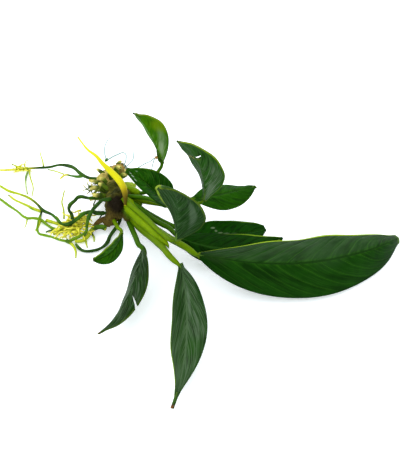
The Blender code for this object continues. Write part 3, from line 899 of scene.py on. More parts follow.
# %% [markdown]
# ## The left blade
#
# It curls over the middle, and small white spots near its tip are painted highlights. They
# are laid on as ovals, because real glints would be smaller than a picture point.

# %% Left blade
BLADES["leaf_left"] = dict(
    base=(-20.5, -6.5, 22.0), heading=221, climb=67, roll=-50, length=33.4, width=18,
    droop=-1, tip_droop=59, sweep=2, twist=-27, fold_left=-30, fold_right=-13, cup=39,
    belly=0.31, base_full=0.69, tip_full=0.8, tip_half=1.4,
    veins=7, bright=(0.0, 0.35), bright_tip=0.5)
grow("leaf_left", (0.0035, 0.0384, 0.0002), (0.0098, 0.0744, 0.0005), (0.042, 0.156, 0.004),
     (0.154, 0.3, 0.008), vein_share=0.2, streaks=0.15, streak=(0.091, 0.228, 0.022),
     tip=(0.012, 0.06, 0.001), rough=0.3, patches=0.6,
     # These spots are painted highlights near the tip.
     spots=[((0.5, 0.955), (1.1, 0.8), (0.34, 0.42, 0.34), 0.9),
            ((0.36, 0.93), (0.9, 0.8), (0.3, 0.38, 0.3), 0.9),
            ((0.24, 0.895), (0.8, 1.0), (0.34, 0.42, 0.34), 0.9),
            ((0.14, 0.85), (0.7, 1.1), (0.26, 0.34, 0.26), 0.9),
            ((0.75, 0.88), (0.8, 0.8), (0.22, 0.3, 0.22), 0.6)])

# %% [markdown]
# ## The middle blade
#
# The most curled blade stands in front of the others. It is grey-green with painted sheen,
# and its margin shows as a bright line that starts at the tip, partly painted light. Where
# the curl hides the true margin, thin ovals carry the line on.

# %% Middle blade
BLADES["leaf_mid"] = dict(
    base=(-14.8, -31.7, 24.0), heading=-146, climb=95, roll=9, length=44, width=26.5,
    droop=0, tip_droop=70, sweep=2, twist=12, fold_left=-7, fold_right=13, cup=62,
    belly=0.42, base_full=0.55, tip_full=1.35,
    veins=8, lean=0.36, bright=(0.3, 1.0), bright_tip=0.75)
grow("leaf_mid", (0.003, 0.023, 0.0008), (0.0085, 0.04, 0.003), (0.036, 0.084, 0.026),
     (0.22, 0.33, 0.03), vein_share=0.06, fine_share=0.2, rib=(0.01, 0.042, 0.006), rib_share=0.2,
     streaks=0.3, bloom=(0.02, 0.052, 0.013), streak=(0.06, 0.1, 0.052), tip=(0.098, 0.06, 0.018),
     blooms=(0.3, 0.25), shown_below=True,
     # The grey spot is painted sheen; the thin ovals at the margin carry on the margin line,
     # which is partly painted light.
     spots=[((0.35, 0.84), (6.0, 6.0), (0.003, 0.03, 0.0003), 0.9),
            ((0.22, 0.4), (2.5, 12.0), (0.06, 0.095, 0.054), 0.6),
            ((0.08, 0.45), (2.0, 9.0), (0.004, 0.026, 0.001), 0.8),
            ((0.985, 0.66), (1.0, 5.0), (0.22, 0.33, 0.03), 0.85),
            ((0.965, 0.5), (1.0, 5.0), (0.22, 0.33, 0.03), 0.85),
            ((0.94, 0.37), (1.1, 4.0), (0.2, 0.3, 0.03), 0.8),
            ((0.905, 0.28), (1.1, 3.0), (0.16, 0.25, 0.02), 0.6)])

# %% [markdown]
# ## The far dark blade
#
# Behind the largest blade lie two dark ones. The far one is nearly black-green, smooth, and
# carries a row of small painted highlights.

# %% Far dark blade
BLADES["leaf_far_dark"] = dict(
    base=(-9.1, -15.1, 11.0), heading=9, climb=-10, roll=0, length=40, width=16,
    droop=14, tip_droop=-24, sweep=17, twist=6, fold_left=-9, fold_right=1, cup=12,
    belly=0.41, base_full=0.57, tip_full=0.5, tip_half=1.6,
    veins=8, bright=(0.8, 0.0), bright_tip=0.3)
grow("leaf_far_dark", (0.002, 0.028, 0.0001), (0.0045, 0.048, 0.0003), (0.015, 0.09, 0.002),
     (0.098, 0.195, 0.012), vein_share=0.2, tip=(0.006, 0.035, 0.001), rough=0.26, patches=0.7,
     # These spots are painted highlights.
     spots=[((0.26, 0.31), (0.7, 1.6), (0.2, 0.27, 0.16), 0.6),
            ((0.37, 0.345), (0.8, 1.0), (0.16, 0.22, 0.12), 0.6),
            ((0.43, 0.4), (0.5, 1.8), (0.16, 0.22, 0.12), 0.7),
            ((0.455, 0.48), (0.5, 2.4), (0.13, 0.19, 0.1), 0.7),
            ((0.466, 0.58), (0.4, 2.6), (0.09, 0.15, 0.06), 0.7)])

# %% [markdown]
# ## The near dark blade
#
# The near one is long and mostly covered by the largest. Its pale midrib and the bright
# upper margin, partly painted light, are what is seen of it.

# %% Near dark blade
BLADES["leaf_near_dark"] = dict(
    base=(-13.0, -21.6, 15.8), heading=-16, climb=-19, roll=38, length=51.5, width=18,
    droop=-5, tip_droop=33, sweep=47, twist=6, fold_left=39, fold_right=23, cup=0,
    belly=0.47, base_full=0.52, tip_full=0.93, tip_half=0.35,
    veins=8, bright=(0.8, 0.1), bright_tip=1.0)
grow("leaf_near_dark", (0.002, 0.0216, 0.0002), (0.0044, 0.038, 0.0005), (0.014, 0.062, 0.003),
     (0.16, 0.28, 0.012), vein_share=0.2, rib=(0.024, 0.0864, 0.01), rib_share=0.5,
     tip=(0.004, 0.03, 0.0005), patches=0.7)
print(len(BLADES), "blades")

# %% [markdown]
# ## Tubes
#
# Stalks, roots and threads are round tubes. A curve with a round bevel is the natural way to
# draw one: the curve passes the same points as the solid, and each of the points has a
# radius of its own. Two radii are enough for a plain taper. The curve is turned into a mesh
# in the end, and its doubled points are welded, so that modifiers treat it as one skin.

# %% Tubes along a curve
WELD = 0.01


def taper(radii, count):
    """One radius for each of so many points. Two radii stand for the two ends."""
    if len(radii) == count:
        return list(radii)
    return [radii[0] + (radii[1] - radii[0]) * i / (count - 1) for i in range(count)]


def tube(name, route, radii, smooth=5, sides=3):
    """A round tube through the points; it has one radius per point or two for a taper."""
    select_only()
    bpy.ops.curve.primitive_bezier_curve_add(enter_editmode=True, location=(0, 0, 0))
    thing = bpy.context.object
    thing.name = name
    bpy.ops.curve.select_all(action="SELECT")
    bpy.ops.curve.delete(type="VERT")
    for point in route:
        bpy.ops.curve.vertex_add(location=place(point))
    bpy.ops.curve.select_all(action="SELECT")
    bpy.ops.curve.handle_type_set(type="AUTOMATIC")
    close_edit()
    points = thing.data.splines[0].bezier_points
    for point, radius in zip(points, taper(radii, len(points))):
        point.radius = radius
    thing.data.dimensions = "3D"
    thing.data.resolution_u = smooth
    thing.data.bevel_depth = MM
    thing.data.bevel_resolution = sides
    thing.data.use_fill_caps = True
    bpy.ops.object.convert(target="MESH")
    thing = bpy.context.object
    open_edit(thing)
    pick_all()
    bpy.ops.mesh.remove_doubles(threshold=WELD * MM)
    bpy.ops.mesh.normals_make_consistent(inside=False)
    close_edit()
    bpy.ops.object.shade_smooth()
    return thing


def wear(thing, finish, node=None):
    """Give a piece its finish, hang it under the root body, and hide the solid it stands for."""
    thing.data.materials.clear()
    thing.data.materials.append(finish)
    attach(thing, "root")
    if node:
        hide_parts(node)
    return thing


print("tubes are welded at", WELD, "mm")

# %% [markdown]
# ## The finish of a stalk
#
# A stalk is grooved by fine fibres, and the side turned to the table is painted a darker
# green, as shade. The fibres are a noise drawn out along the tube. There are two sorts,
# because the stalks in front are yellow-green and the others are deep green.

# %% Stalk finish
def stalk_finish(name, dark, light, streak):
    """Fine streaks along the tube, and painted shade: a darker green on the side turned to the
    table.
    """
    finish = new_finish(name, Specular_IOR_Level=0.03)
    where, across, along = coordinates(finish, tube=True)
    fibres = noise(drawn_out(across * 14.0, along * 3.0), 1.6, 4.0)
    mottle = noise(where, 260.0, 3.0)
    # Painted shade: the more a point faces down, the more it takes the dark colour.
    facing = where.node("ShaderNodeNewGeometry", output=1)
    lift = facing.node("ShaderNodeSeparateXYZ", None, {0: facing}, output=2)
    green = blend(lift.rise(-0.6, 0.9), dark, light)
    green = blend(fibres.rise(0.45, 0.75) * 0.45, green, streak)
    green = blend(mottle.rise(0.45, 0.75) * 0.3, green, dark)
    green = blend(along.rise(0.72, 0.95) * 0.55, green, dark)
    return feed(finish, Base_Color=green, Roughness=fibres * 0.2 + 0.32,
                Normal=bump(fibres + mottle * 0.3, 0.15, 0.5))


LIGHT_STALK = stalk_finish("stalk_yellow_green", (0.028, 0.08, 0.0004), (0.1, 0.19, 0.0006),
                           (0.19, 0.28, 0.002))
DARK_STALK = stalk_finish("stalk_deep_green", (0.009, 0.042, 0.0005), (0.034, 0.105, 0.001),
                          (0.08, 0.18, 0.003))
print("stalk finishes", LIGHT_STALK.name, DARK_STALK.name)

# %% [markdown]
# ## Stalks
#
# Each stalk widens where it clasps the crown, and runs on as a keel under the midrib of its
# blade. The keel is two more points below the blade, found from the way the blade leans. Two
# stalks meet their blade from behind and have no keel to show, so they just end thin.

# %% Values and tubes of the stalks
KEEL = ((2.5, 1.1), (8.0, 0.8))
KEEL_SHARES = (0.8, 0.25)
NO_KEEL = ("stalk_mid", "stalk_back_mid")
THIN_END = 0.4

STALKS = {
    "stalk_right": dict(radii=(2.7, 2.5, 2.2, 2.0, 1.8, 1.7, 1.6, 1.55, 1.4, 1.0), light=True,
        route=[(-42, 7, 9.1), (-36.0, 0.8, 10), (-32.8, -3.6, 10.5), (-29.1, -8.5, 11.5),
               (-23.4, -15.2, 13.4), (-18.9, -20.5, 15), (-14.6, -25.0, 16.2),
               (-10.4, -29.5, 17.6), (-7.4, -32.8, 18.1), (-5.4, -34.8, 18.2)]),
    "stalk_front": dict(radii=(2.3, 2.2, 2.1, 2.0, 1.9, 1.8, 1.6, 1.5, 1.35, 0.9), light=True,
        route=[(-43, 6, 6.3), (-38.5, 3.0, 6.4), (-34.8, -4.1, 7.6), (-31.1, -10.7, 9.6),
               (-27.2, -16.9, 11.8), (-23.5, -23.5, 14.2), (-20.4, -29.9, 16.8),
               (-18.1, -35.3, 18.6), (-15.6, -39.2, 19.2), (-13.4, -42.0, 19.4)]),
    "stalk_split": dict(radii=(1.6, 1.2), light=False, route=[
        (-44, 6.5, 4.2), (-41.3, 6.8, 4), (-39.1, 0.1, 4.4), (-36.6, -8.8, 7.4),
        (-34.5, -16.4, 10.2), (-32.6, -22.8, 12.1), (-30.6, -25.8, 13)]),
    "stalk_small": dict(radii=(1.2, 0.85), light=True, route=[
        (-48, 3.0, 5), (-46.2, -1.0, 6), (-43.8, -7.8, 8.5), (-41.8, -12, 10)]),
    "stalk_mid": dict(radii=(1.45, 1.05), light=True, route=[
        (-42, 7, 13.6), (-34.5, -2.6, 15), (-28.7, -10.6, 16.4), (-23.5, -19.3, 18.6),
        (-19.5, -25.8, 21), (-16.5, -30.5, 23), (-14.8, -31.7, 24)]),
    "stalk_near_dark": dict(radii=(1.5, 1.1), light=False, route=[
        (-42, 9.5, 11.6), (-34.4, 2.4, 12.5), (-30.3, -1.9, 12.3), (-26.5, -5.8, 12.4),
        (-22.4, -9.5, 12.8), (-18.9, -12.5, 13.4), (-16.3, -16.4, 14.1), (-13.6, -20.4, 14.8)]),
    "stalk_far_dark": dict(radii=(1.4, 1.05), light=False, route=[
        (-42, 9.5, 8), (-35.5, 7.8, 8.2), (-31.5, 4.2, 8.4), (-27.1, 0.1, 9), (-21.0, -5.4, 10),
        (-16.0, -9.2, 10.6), (-9.1, -15.1, 11)]),
    "stalk_left": dict(radii=(1.3, 0.9), light=False, route=[
        (-42.5, 11, 12), (-35.1, 8.0, 14.4), (-30.4, 4.7, 16.8), (-25.4, -0.6, 19.8),
        (-20.5, -6.5, 22)]),
    "stalk_back_mid": dict(radii=(1.35, 1.0), light=True, route=[
        (-42, 12.5, 11), (-35.4, 9.5, 11), (-30.2, 6.7, 12.4), (-24.5, 2.2, 15.4),
        (-17.3, -4.2, 19.5), (-11.4, -9.1, 23.5), (-4.7, -9.4, 26.2), (-2.1, -9.4, 28)]),
    "stalk_back_right": dict(radii=(1.2, 0.95), light=False, route=[
        (-42, 13, 8), (-35.9, 13.9, 6.4), (-29.1, 10.0, 8.6), (-21.8, 5.1, 12), (-13.6, -0.1, 17),
        (-7.8, 0.6, 20)]),
    "stalk_back_left": dict(radii=(1.15, 0.85), light=False, route=[
        (-43, 15, 10), (-37.9, 16.0, 9.8), (-34.1, 14.0, 11.4), (-30.4, 12.5, 14.2),
        (-27.6, 14.2, 17.5), (-25.1, 17.3, 22), (-22.8, 19.9, 26)]),
}


def keel(leaf, radius):
    """Two points on the lower side of the midrib: how far out, and how many radii down."""
    heading, climb, roll = (radians(leaf[word]) for word in ("heading", "climb", "roll"))
    ahead = Vector((cos(heading) * cos(climb), sin(heading) * cos(climb), sin(climb)))
    level = Vector((-sin(heading), cos(heading), 0))
    up = ahead.cross(level * cos(roll) + ahead.cross(level) * sin(roll))
    return [tuple(Vector(leaf["base"]) + ahead * out - up * radius * low) for out, low in KEEL]


for name, values in STALKS.items():
    route = list(values["route"])
    radii = taper(values["radii"], len(route))
    if name in NO_KEEL:
        radii[-1] *= THIN_END
    else:
        route += keel(BLADES[name.replace("stalk", "leaf")], radii[-1])
        radii += [radii[-1] * share for share in KEEL_SHARES]
    made = tube(name.replace("stalk", "petiole"), route, radii)
    wear(made, LIGHT_STALK if values["light"] else DARK_STALK, name)
print(len(STALKS), "stalks")

# %% [markdown]
# ## The finish of a root
#
# Old roots are dark green or brown, and the young ones and the fork ends are a clear yellow.
# One finish does for all: it has an old and a young pair of colours and a share of the
# length where the one changes to the other, made ragged by a noise.

# %% Root finish
DARK_GREEN = (0.013, 0.045, 0.004)
MID_GREEN = (0.045, 0.15, 0.007)
FRESH_GREEN = (0.19, 0.34, 0.007)
YELLOW = (0.58, 0.53, 0.022)
PALE_YELLOW = (0.78, 0.72, 0.18)
BROWN = (0.1, 0.06, 0.012)


def root_finish(name, young, old_dark, old_light, fresh, fresh_dark, change=0.12):
    """Old and dark near the stem, young beyond a share of the length."""
    finish = new_finish(name, Specular_IOR_Level=0.06)
    where, _, along = coordinates(finish, tube=True)
    patches = noise(where, 170.0, 3.0)
    small = noise(where, 700.0, 4.0)
    old = blend(patches.rise(0.35, 0.65), old_dark, old_light)
    new = blend(small.rise(0.4, 0.75), fresh, fresh_dark)
    ripe = (along + (patches - 0.5) * 0.35).rise(young - change, young + change)
    colour = blend(ripe, old, new)
    colour = blend(small.rise(0.58, 0.8) * 0.35, colour, (0.06, 0.045, 0.01))
    return feed(finish, Base_Color=colour, Roughness=small * 0.25 + 0.45,
                Normal=bump(patches + small * 0.5, 0.3, 0.7))


print("root colours ready")

# %% [markdown]
# ## Roots
#
# The main roots follow the solid ones. A real root is never an even tube: it is knotted,
# it thickens where it forks and it thins to a thread at the end. The knots are two waves of
# different length multiplied, so they never come at even steps.

# %% Values and tubes of the roots
KNOTS = 0.22

ROOTS = {
    "root_upper": dict(radii=(1.15, 0.5), young=0.78,
        skin=(DARK_GREEN, (0.03, 0.09, 0.006), YELLOW, FRESH_GREEN), route=[
        (-52, 27, 7), (-57.4, 28.8, 7.4), (-61.5, 29.3, 8), (-65.9, 32.4, 8), (-70.3, 38.3, 7),
        (-73.3, 41, 6), (-79.2, 44.1, 4), (-84.2, 44.2, 2.5), (-91.8, 44.6, 1.5),
        (-100.4, 44.3, 1), (-111, 43.7, 0.8), (-118.8, 45.4, 0.7)]),
    "root_upper_fork": dict(radii=(0.8, 0.45), young=0.65,
        skin=((0.04, 0.12, 0.005), MID_GREEN, YELLOW, PALE_YELLOW), route=[
        (-64.4, 31.2, 7.8), (-67.3, 32, 6.5), (-71.7, 34.6, 4.8), (-75, 35.9, 4.2),
        (-77.5, 33.7, 3.4)]),
    "root_cross": dict(radii=(0.6, 0.45), young=0.5,
        skin=((0.09, 0.2, 0.04), (0.2, 0.32, 0.09), (0.42, 0.5, 0.22), (0.3, 0.42, 0.14)), route=[
        (-95.9, 42.5, 0.8), (-96.4, 38.2, 0.7), (-95.4, 31.2, 0.7), (-93.7, 25, 0.7)]),
    "root_side": dict(radii=(1.05, 0.55), young=0.68,
        skin=(DARK_GREEN, MID_GREEN, (0.4, 0.46, 0.015), (0.22, 0.36, 0.01)), route=[
        (-51.6, 3.2, 8), (-55, 2.8, 8.4), (-58.2, 4.2, 7.8), (-61.7, 3.9, 7), (-65, 1, 6),
        (-68.3, -1.1, 5), (-71.9, -0.8, 4), (-75.5, 3.7, 3.4), (-79.1, 7.7, 3), (-83, 10.4, 2.5),
        (-87.4, 16.3, 1.8), (-92.3, 21.4, 1.2), (-98, 24.7, 1), (-103.6, 27.1, 0.9),
        (-108.9, 31.1, 0.8), (-118.5, 37.4, 0.7)]),
    "root_middle": dict(radii=(0.7, 0.45), young=0.35,
        skin=(FRESH_GREEN, MID_GREEN, YELLOW, PALE_YELLOW), route=[
        (-85.3, 12, 0.7), (-89.9, 14.2, 0.8), (-94.1, 17.3, 0.8), (-98.9, 20.1, 0.7),
        (-102.5, 23.5, 0.7)]),
    "root_bow": dict(radii=(1.0, 0.6), young=0.5,
        skin=(DARK_GREEN, (0.04, 0.12, 0.006), (0.13, 0.25, 0.006), (0.18, 0.32, 0.006)), route=[
        (-50, 13.5, 7), (-56, 13.8, 8.6), (-59.7, 11.9, 10), (-64.6, 11.7, 11),
        (-66.6, 9.3, 10.5), (-68.9, 7.9, 9), (-69.4, 6.4, 7), (-68.1, 5.3, 4.6), (-68, 3.1, 2.6),
        (-69.4, 0.4, 1.4), (-72.2, -1.2, 1), (-76.3, -1, 1), (-80.1, 1.5, 1), (-84.1, 5.4, 1),
        (-87.8, 6.8, 1), (-91.3, 6.8, 1), (-97.1, 11.9, 1), (-102.4, 16.5, 0.9),
        (-107.3, 21.1, 0.8), (-115.8, 28.1, 0.7)]),
    "root_arch": dict(radii=(1.05, 0.5), young=0.42,
        skin=(DARK_GREEN, (0.03, 0.1, 0.006), (0.11, 0.22, 0.006), (0.13, 0.28, 0.006)), route=[
        (-47.9, 9.5, 11), (-48.5, 7.2, 13.5), (-51.8, 5.8, 14.4), (-54.2, 4, 13.4),
        (-57.2, 1.7, 10.8), (-58.7, -0.1, 8.5), (-59.6, -3.4, 6.5), (-59.9, -6.6, 4.5),
        (-62.9, -7.9, 3), (-66.1, -8.8, 1.8), (-68.3, -9.5, 1.2), (-72.4, -8.6, 0.9),
        (-77.1, -6.5, 0.9), (-81.2, -5.1, 0.9), (-83.8, -4.1, 0.9), (-84.9, -1.6, 1.6),
        (-84.8, 3, 2.8), (-84.6, 6.4, 2.9)]),
    "root_loop": dict(radii=(1.05, 0.7), young=0.95,
        skin=(DARK_GREEN, (0.025, 0.075, 0.008), (0.1, 0.22, 0.008), MID_GREEN), route=[
        (-44.7, 7.8, 5), (-44, 4.2, 3.6), (-44.4, 1.2, 3), (-46.2, -2, 2), (-48.4, -6.1, 1.2),
        (-49.6, -10.7, 1), (-52.2, -14, 0.9), (-55.3, -15.6, 0.9), (-60.3, -16, 0.9),
        (-63, -14, 0.9), (-64.8, -11.4, 0.9)]),
    "root_brown": dict(radii=(1.4, 0.55), young=0.75,
        skin=(BROWN, (0.16, 0.11, 0.02), (0.2, 0.24, 0.02), BROWN), route=[
        (-51, 4.5, 3), (-54.5, 3, 2.4), (-56.6, 1, 1.8), (-57.6, -1.6, 1.1), (-57.8, -4.4, 0.8)]),
}


def knotted(radii, count):
    """A radius for each of so many points, swollen here and there."""
    return [radius * (1 + KNOTS * sin(i * 2.3) * sin(i * 0.9))
            for i, radius in enumerate(taper(radii, count))]


for name, values in ROOTS.items():
    route = values["route"]
    made = tube(name.replace("root", "rootlet"), route, knotted(values["radii"], len(route)),
                smooth=4, sides=2)
    wear(made, root_finish("skin_" + name, values["young"], *values["skin"]), name)
print(len(ROOTS), "roots")

# %% [markdown]
# ## The creeping stem
#
# The rhizome of an anubias is a thick, knobbly stem, swollen at the crown and wherever an
# old stalk stood. Such a form is quickly built from lumps: round balls that are stretched
# to eggs, joined to one object and roughened by clouds, which push the surface in and out.

# %% Lumps
def lump(centre, radii):
    """An egg-shaped lump."""
    select_only()
    bpy.ops.mesh.primitive_ico_sphere_add(subdivisions=4, radius=1, location=(0, 0, 0))
    thing = bpy.context.object
    open_edit(thing)
    pick_all()
    stretch([r * MM for r in radii])
    bpy.ops.transform.translate(value=place(centre))
    close_edit()
    return thing


def join(things):
    select_only(*things)
    bpy.ops.object.join()
    return bpy.context.object


def roughen(thing, size, strength):
    """Push the surface in and out by clouds of this size, both in millimetres."""
    clouds = bpy.data.textures.new("clouds", "CLOUDS")
    clouds.noise_scale = size * MM
    apply_modifier(thing, "DISPLACE", texture=clouds, strength=strength * MM, mid_level=0.5)


print("lump tools ready")

# %% [markdown]
# ## The stem's body
#
# The core is a tube with a radius for each point, and the lumps are sunk into it. Remeshing
# skins all of them over as one body, because loose lumps would show a seam around each. Two
# sizes of clouds, in millimetres and each with its strength, then give knobs and grain.

# %% The stem's body
VOXEL = 0.45
CLOUDS = ((3.2, 2.0), (1.1, 0.9))
STEM_RADII = (2.0, 3.7, 5.4, 6.1, 5.9, 5.2, 3.6)
STEM_ROUTE = [
    (-50.5, -1.6, 4.4), (-48, 3.5, 5), (-46.5, 11, 5.9), (-47.5, 19, 6.3), (-50.5, 27, 6.2),
    (-49.5, 33.5, 6), (-45.5, 37, 7),
]
LUMPS = [
    ((-44.5, 9.5, 9.0), (7.0, 9.6, 6.6)), ((-53, 26, 9), (4.2, 4.6, 4.2)),
    ((-47, 32, 10), (4.2, 3.6, 3.6)), ((-48.8, 5, 5), (2.6, 4.2, 4.0)),
    ((-47, 18, 11.5), (4.5, 4.5, 3.2)), ((-45.3, 37.0, 7), (3.6, 2.8, 3.4)),
    ((-39.5, 3.8, 7.8), (3.4, 4.6, 5.2)),
]

stem = join([tube("stem", STEM_ROUTE, STEM_RADII)] + [lump(*values) for values in LUMPS])
apply_modifier(stem, "REMESH", mode="VOXEL", voxel_size=VOXEL * MM)
for size, strength in CLOUDS:
    roughen(stem, size, strength)
bpy.ops.object.shade_smooth()
print("stem", len(stem.data.polygons), "faces")

# %% [markdown]
# ## Bark
#
# The stem isn't one brown. The old end is tan where roots broke off, the crown is painted
# nearly black as the shade among the stalks, and fresh green shows beside it. Each of these
# zones is a point, a reach, a share and a tint, laid over a mottled olive in this order.
# Their edges are ragged by the same noise.

# %% Stem finish
ZONES = [
    ((-50, 27, 10), 10.0, 1.0, (0.34, 0.26, 0.045)),
    ((-45, 33, 12), 6.0, 1.0, (0.15, 0.085, 0.014)),
    ((-43, 27, 11), 6.0, 1.0, (0.03, 0.085, 0.003)),
    ((-53, 17, 10), 8.0, 0.7, (0.016, 0.036, 0.002)),
    ((-48, 0, 6), 10.0, 1.0, (0.08, 0.058, 0.01)),
    ((-53, 26, 12), 9.0, 0.75, (0.46, 0.38, 0.11)),
    ((-46, 33, 11), 6.0, 0.6, (0.36, 0.25, 0.06)),
    # Painted shade: the crown among the stalks is nearly black.
    ((-44, 4, 13.5), 8.0, 1.0, (0.006, 0.0035, 0.0003)),
    ((-37.5, 4, 10), 6.0, 1.0, (0.07, 0.16, 0.002)),
]


def near(where, point, reach, ragged):
    """1 at the point and 0 beyond its reach, with a ragged edge."""
    away = where.node("ShaderNodeVectorMath", {"operation": "DISTANCE"},
                      {0: where, 1: tuple(place(point))}, output=1)
    return 1 - (away * (1 / (reach * MM)) + (ragged - 0.5) * 1.1).rise(0.3, 1.05)


bark = new_finish("bark", Specular_IOR_Level=0.06)
where = coordinates(bark)[0]
patches = noise(where, 220.0, 4.0)
grain = noise(where, 900.0, 4.0)
colour = blend(patches.rise(0.35, 0.65), (0.022, 0.026, 0.002), (0.085, 0.08, 0.008))
for point, reach, share, tint in ZONES:
    colour = blend(near(where, point, reach, patches) * share, colour, tint)
colour = blend(grain.rise(0.52, 0.72) * 0.6, colour, (0.01, 0.007, 0.002))
feed(bark, Base_Color=colour, Roughness=grain * 0.3 + 0.5,
     Normal=bump(patches + grain * 0.6, 0.5, 0.9))
wear(stem, bark, "rhizome")
print("bark with", len(ZONES), "zones")

# %% [markdown]
# ## Root stubs
#
# Old roots break off and leave short stubs, dark green with a tan end, all over the left of
# the crown. Each one is a short bowed tube between two points, a little rough. Its bow and
# width follow slow waves of its number, so that no two neighbours are alike.

# %% Stubs
STUBS = [
    ((-52, 18, 9), (-59.5, 17.5, 11)), ((-52, 21, 7), (-60.5, 21.5, 8.5)),
    ((-53, 24, 5), (-61, 25.5, 5.4)), ((-52, 15, 6), (-60, 14.5, 6.6)),
    ((-51, 20, 11), (-56, 22, 14.2)), ((-46.5, 34, 9.5), (-45.5, 38.5, 11.5)),
    ((-46, 32, 9), (-42.8, 32.5, 10.6)), ((-50, 31, 8), (-53.2, 34, 10.6)),
    ((-50, 16, 12), (-55, 17.5, 14.5)), ((-51, 13, 10), (-57.5, 11.5, 12.5)),
    ((-53, 20, 10), (-60.5, 23.5, 11.5)), ((-47, 28, 12), (-44.5, 29, 15.5)),
    ((-45, 26, 11), (-42.2, 26.8, 12.6)), ((-45, 29, 9), (-42.0, 30, 10)),
    ((-52, 27, 11), (-57, 30, 13.5)), ((-49, 24, 12), (-51.5, 26.5, 15.5)),
]

STUB_BOW = 0.8
STUB_WIDE, STUB_VARIES = 1.25, 0.35

stub_finish = root_finish("skin_stub", 0.66, (0.014, 0.035, 0.002), (0.075, 0.13, 0.006),
                          (0.62, 0.56, 0.15), (0.3, 0.28, 0.03), change=0.22)
for i, (start, end) in enumerate(STUBS):
    bow = Vector((STUB_BOW * sin(i * 2.1), STUB_BOW * cos(i * 1.7), 1.0))
    middle = (Vector(start) + Vector(end)) / 2 + bow
    wide = STUB_WIDE + STUB_VARIES * sin(i * 3.1)
    stub = tube("stub_%02d" % (i + 1), [start, tuple(middle), end],
                (wide, wide * 0.95, wide * 0.6), smooth=6, sides=3)
    roughen(stub, 1.0, 0.5)
    wear(stub, stub_finish)
print(len(STUBS), "stubs")

# %% [markdown]
# ## The sheath
#
# The yellow sheath is a long dry leaf base that tapers to a thread. It is one smooth tube
# with its widest place near the crown, and its yellow clears from a brown foot to the tip.

# %% The sheath's tube
SHEATH_RADII = (0.7, 1.25, 1.7, 1.8, 1.55, 1.15, 0.85, 0.65, 0.48, 0.45)
SHEATH_ROUTE = [
    (-40.6, 2.0, 14.4), (-40.7, 6.2, 16.7), (-41.7, 10.6, 18.0), (-44.1, 14.9, 19.1),
    (-48.5, 20.3, 20.2), (-52.9, 25.3, 21), (-56.8, 30.9, 21.5), (-61.4, 36.2, 21),
    (-64.6, 41.6, 20.5), (-67.9, 47.9, 20),
]

husk = new_finish("husk", Specular_IOR_Level=0.06)
_, across, along = coordinates(husk, tube=True)
lines = noise(drawn_out(across * 18.0, along * 2.0), 1.5)
yellow = blend(along.rise(0.12, 0.34), (0.34, 0.24, 0.003), (0.56, 0.53, 0.004))
yellow = blend(lines.rise(0.45, 0.7) * 0.5, yellow, (0.36, 0.36, 0.004))
yellow = blend(along.rise(0.5, 0.9) * 0.7, yellow, (0.6, 0.6, 0.03))
yellow = blend(along.rise(0.95, 1.0), yellow, (0.6, 0.4, 0.02))
yellow = blend(1 - along.rise(0.06, 0.24), yellow, (0.08, 0.06, 0.003))
feed(husk, Base_Color=yellow, Roughness=lines * 0.2 + 0.4, Normal=bump(lines, 0.2, 0.5))
wear(tube("husk", SHEATH_ROUTE, SHEATH_RADII, smooth=8, sides=4), husk, "sheath")
print("sheath of", len(SHEATH_ROUTE), "points")

# %% [markdown]
# ## The bud
#
# The bud is a pale green knob beside the crown. Three small eggs are grown into one by
# remeshing and then roughened, because a single egg would look too smooth for it.

# %% Bud
EGGS = [((-41.0, 22.2, 9.2), (2.5, 2.3, 1.4)), ((-38.4, 21.4, 9.4), (1.9, 1.8, 1.2)),
        ((-39.6, 23.6, 8.6), (1.7, 1.5, 1.0))]

egg = join([lump(*values) for values in EGGS])
egg.name = "bud_egg"
apply_modifier(egg, "REMESH", mode="VOXEL", voxel_size=VOXEL / 2 * MM)
roughen(egg, 1.6, 1.0)
bpy.ops.object.shade_smooth()
# The stalk finish paints shade on the bud's side turned to the table, too.
wear(egg, stalk_finish("bud_green", (0.06, 0.13, 0.003), (0.22, 0.32, 0.02),
                       (0.42, 0.5, 0.11)), "bud")
print("bud of", len(EGGS), "eggs")

# %% [markdown]
# ## Joined stalk bases
#
# Where the two light stalks leave the crown, the foot of one wraps the other, so they look
# like one broad band up to the fork. The wrap ends in a thin pale tip. Soft tubes between
# the stalks fill the band and make the tip, and short ones are the feet beside the bud.

# %% Wraps
WRAPS = {
    "wrap": dict(radii=(3.6, 3.1, 2.8, 2.5, 1.9, 0.8), route=[
        (-39.0, 4.6, 10.8), (-34.4, -2.4, 11.2), (-30.6, -8.6, 12.2), (-26.6, -14.8, 13.9),
        (-22.8, -21.0, 15.6), (-20.0, -25.2, 16.2)]),
    "wrap_tip": dict(radii=(1.7, 1.4, 0.8, 0.15), route=[
        (-23.1, -20.4, 15.6), (-20.6, -24.3, 16.4), (-18.9, -27.2, 16.6), (-18.1, -29.2, 16.4)]),
    "foot": dict(radii=(3.4, 3.2, 1.9), route=[
        (-42.5, 9.5, 10.4), (-39.0, 5.6, 11.2), (-35.8, 0.9, 11.6)]),
    "bud_foot": dict(radii=(1.6, 2.1, 1.9, 1.0), route=[
        (-42.2, 17.2, 11.4), (-39.2, 16.2, 11.6), (-36.0, 14.8, 11.4), (-33.4, 13.4, 11.0)]),
    "foot_back": dict(radii=(3.0, 2.5, 1.5), route=[
        (-41.5, 13.0, 9.8), (-37.6, 10.6, 9.6), (-33.6, 7.2, 10.0)]),
}
PALE_STALK = stalk_finish("stalk_pale", (0.05, 0.12, 0.0006), (0.145, 0.25, 0.001),
                          (0.26, 0.36, 0.003))

# The stalk finish paints shade on the side of each wrap turned to the table.
for name, values in WRAPS.items():
    wear(tube(name, values["route"], values["radii"], smooth=8, sides=4),
         LIGHT_STALK if name == "foot_back" else PALE_STALK)
print(len(WRAPS), "wraps")

